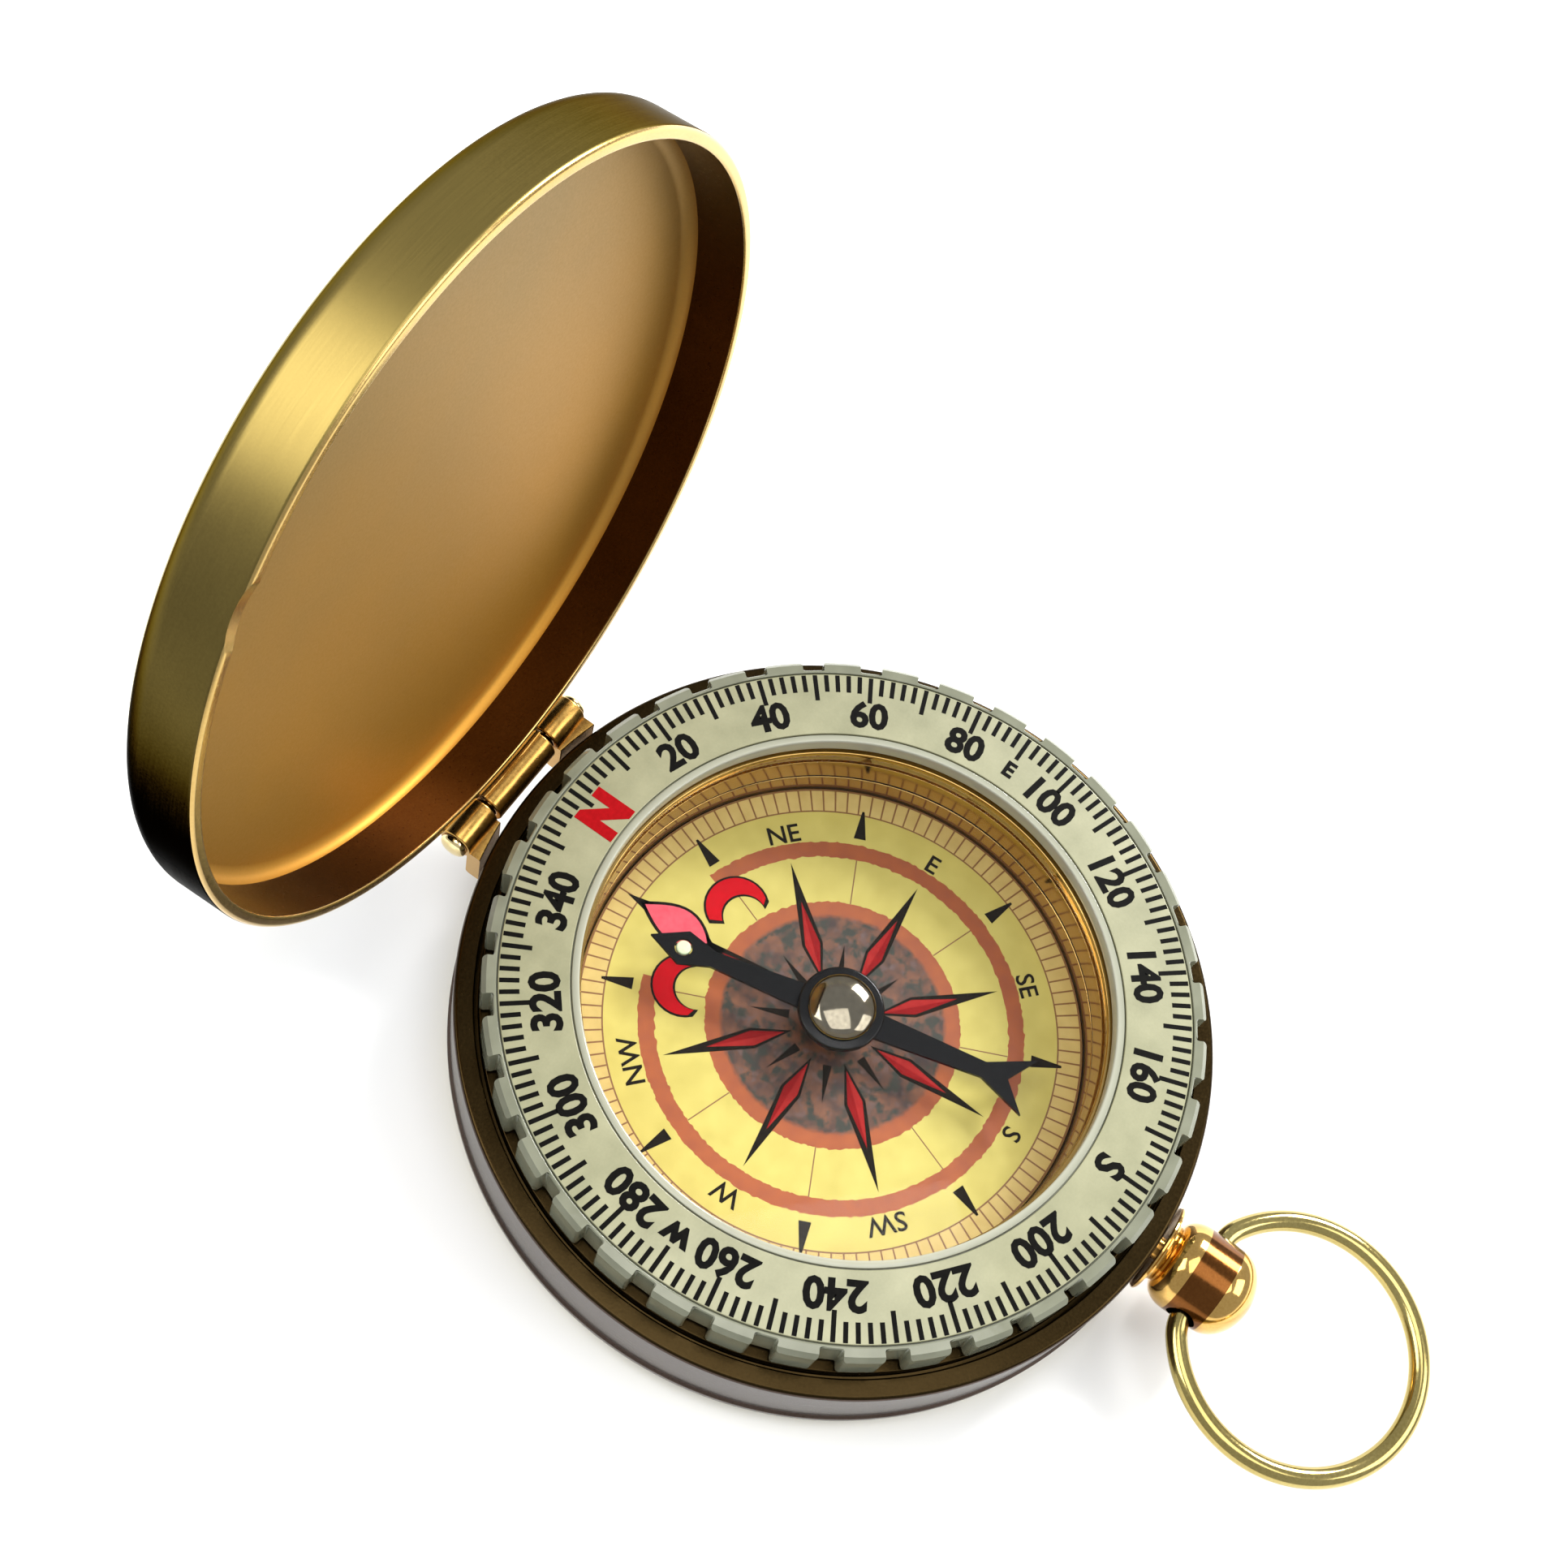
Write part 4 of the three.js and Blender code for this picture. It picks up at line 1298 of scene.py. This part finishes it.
def crescent(middle, outer, inner, drop, start, end, steps=16):
    """A curled petal: the gap between an arc and a smaller one that hangs below it."""
    angles = [math.radians(start + (end - start) * step / steps) for step in range(steps + 1)]

    def arc(centre, radius, turns):
        return [(centre[0] + radius * math.cos(a), centre[1] + radius * math.sin(a)) for a in turns]

    hang = (middle[0] - drop * 0.35, middle[1] - drop)
    return arc(middle, outer, angles) + arc(hang, inner, angles[-2:0:-1])


tip_spike = [(-0.5, 14.0), (0.5, 14.0), (0.0, 16.2)]
waist = mirrored([(0.35, 8.7), (0.22, 9.6), (0.6, 10.3)])
lily_dark = [on_card(shape, 0, 0) for shape in (almond(9.6, 15.2, 1.4), tip_spike, waist)]
lily_pink = on_card(almond(9.9, 14.8, 1.2), 1, 0)
curl_middle = (3.35, 9.6)
curl = crescent(curl_middle, 2.1, 1.55, 0.75, -38, 150)
rim_curl = crescent(curl_middle, 2.25, 1.5, 0.85, -46, 156)
lily_red = []
for flip in (1, -1):
    lily_dark.append(on_card([(flip * x, y) for x, y in rim_curl], 0, 0))
    lily_red.append(on_card([(flip * x, y) for x, y in curl], 1, 0))
add_piece("lily_outline", gathered(lily_dark), star_black, "case", "dial_print")
add_piece("lily_petal", lily_pink, petal_pink, "case", "dial_print")
add_piece("lily_curls", gathered(lily_red), petal_red, "case", "dial_print")
print("lily shapes:", len(lily_dark))

# %% [markdown]
# ## The needle
#
# The needle is a stamped black blade with an arrow head at one end and a fish tail at the other.
# It is drawn pointing north and turned to where the frame holds it, which the place of its
# luminous dot tells. The black hub and the bright cap are turned. The cap is a shallow dome, so it
# mirrors the whole room in a small spot.

# %% Blade
dot_low, dot_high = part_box("needle_dot")
dot_middle = (dot_low + dot_high) / 2 / MM
dot_radius = 0.5
dot_reach = dot_middle.xy.length
needle_azimuth = math.degrees(math.atan2(dot_middle.x, dot_middle.y))
point_needle = azimuth_turn(needle_azimuth)
blade_low, blade_high = low("needle_blade"), high("needle_blade")
head_shoulder = 2.3
head_length = 4.4
tail_length = 3.2
tail_notch = 1.5
arm_end = 0.55
needle_reach = dot_reach + head_shoulder
right_side = [
    (2.0, -needle_reach),
    (arm_end, tail_length - needle_reach),
    (1.0, 0),
    (arm_end, needle_reach - head_length),
    (1.2, dot_reach),
]
blade_points = [(0, tail_notch - needle_reach), *right_side, (0, needle_reach)]
blade_points += [(-x, y) for x, y in reversed(right_side)]
disc_radius = 2.7
stem_radius = 1.5


def hole(radius):
    """A rod that reaches through the blade."""
    return rod(radius + seat_gap, blade_low - 1, blade_high + 1)


blade_mesh = slab(blade_points, blade_low, blade_high)
blade_mesh = combine(blade_mesh, rod(disc_radius, blade_low, blade_high, 64), "UNION")
blade_mesh = combine(blade_mesh, moved(hole(dot_radius), shift(0, dot_reach, 0)), "DIFFERENCE")
blade_mesh = combine(blade_mesh, hole(stem_radius), "DIFFERENCE")

needle_black = Finish("needle_black", Specular_IOR_Level=0.25)
needle_grain = needle_black.noise(6.0, 3.0)
needle_black.colour(needle_grain, (6, 6, 7), (18, 18, 19))
needle_black.feed("Roughness", 0.14 + needle_grain * 0.1)
needle_black.bump(needle_grain, 0.004)
skin("needle_blade", moved(blade_mesh, point_needle), needle_black, soften=0.05)
print("needle points to", round(needle_azimuth, 1), "degrees")

# %% Hub, cap and dot
hub_radius = reach("needle_hub")
hub_high = high("needle_hub")
hub_low = low("needle_hub")
hub_wall = 0.2
stem_wall = 0.3
hub_roof = hub_high - hub_wall
stem_bore = stem_radius - stem_wall
hub_mesh = lathe([
    (0, hub_roof, 0),
    (stem_bore, hub_roof, 0.02),
    (stem_bore, hub_low, 0.03),
    (stem_radius, hub_low, 0.03),
    (stem_radius, blade_high + seat_gap, 0.03),
    (hub_radius, blade_high + seat_gap, 0.08),
    (hub_radius, hub_high, 0.16),
    (0, hub_high, 0),
], 96)
skin("needle_hub", hub_mesh, needle_black)

chrome = Finish("cap_chrome", Metallic=1.0)
turned_marks = chrome.noise(3.0, 2.0)
chrome.colour(turned_marks, (112, 106, 92), (150, 142, 124))
chrome.feed("Roughness", 0.05 + turned_marks * 0.06)
cap_radius = reach("needle_cap")
cap_low = low("needle_cap")
cap_rim = 0.05
cap_edge = cap_low + cap_rim
cap_dome = dome(cap_radius, cap_edge, high("needle_cap") - cap_edge, 14)
skin("needle_cap", turned_mesh([(0, cap_low), (cap_radius, cap_low), *cap_dome], 96), chrome)

lume = Finish("lume", Roughness=0.7)
lume_grain = lume.noise(8.0, 3.0)
lume.colour(lume_grain, (186, 208, 160), (222, 236, 200))
lume.bump(lume_grain, 0.01)
dot_mesh = rod(dot_radius, blade_low, blade_high, 32, 0.03, 0.12)
skin("needle_dot", moved(dot_mesh, point_needle @ shift(0, dot_reach, 0)), lume)
print("hub radius", round(hub_radius, 2), "cap radius", round(cap_radius, 2))

# %% [markdown]
# ## The crystal
#
# The window over the needle is so clear that only its reflection shows, faint from above and
# stronger at a flat angle. A white mirror whose alpha follows the Fresnel curve gives just that,
# and lets the light through to the card without the noise of real refraction.

# %% Crystal
glass = Finish("crystal_clear", Metallic=1.0, Roughness=0.02, Base_Color=(1, 1, 1, 1))
glass.feed("Alpha", glass.node("ShaderNodeFresnel", {}, {"IOR": 1.45}) * 0.2 + glass.noise(2.0) * 0.002)
skin("crystal", rod(reach("crystal"), low("crystal"), high("crystal"), 216, 0.05, 0.05), glass)
print("crystal", round(high("crystal") - low("crystal"), 2), "mm thick")

# %% [markdown]
# ## Pieces inside
#
# The spacer, the wave spring, the pivot, its collar, the nut and the jewel hardly show, and their
# solids have the right shape. They stay as they are and get real finishes: moulded plastic, spring
# steel, polished steel, brass and ruby.

# %% Inner finishes
spacer_black = Finish("spacer_black", Roughness=0.55)
moulding = spacer_black.noise(4.0, 3.0)
spacer_black.colour(moulding, (18, 18, 19), (40, 40, 42))
spacer_black.bump(moulding, 0.01)
ruby = Finish("jewel_clear", Roughness=0.05, IOR=1.76, Transmission_Weight=0.6)
ruby.colour(ruby.noise(4.0), (190, 40, 80), (222, 80, 116))
inner_finishes = {
    "capsule_spacer": spacer_black,
    "bezel_spring": plated("spring_steel", (214, 216, 220), (160, 162, 168), 0.24, 0.04),
    "pivot_post": plated("pivot_steel", (222, 224, 228), (176, 178, 184), 0.12, 0.03),
    "pivot_collar": hinge_gold,
    "crown_nut": hinge_gold,
    "needle_jewel": ruby,
}
for node, finish in inner_finishes.items():
    for place in frame["nodes"][node].material_slots:
        place.material = finish.material
print("inner pieces dressed:", len(inner_finishes))
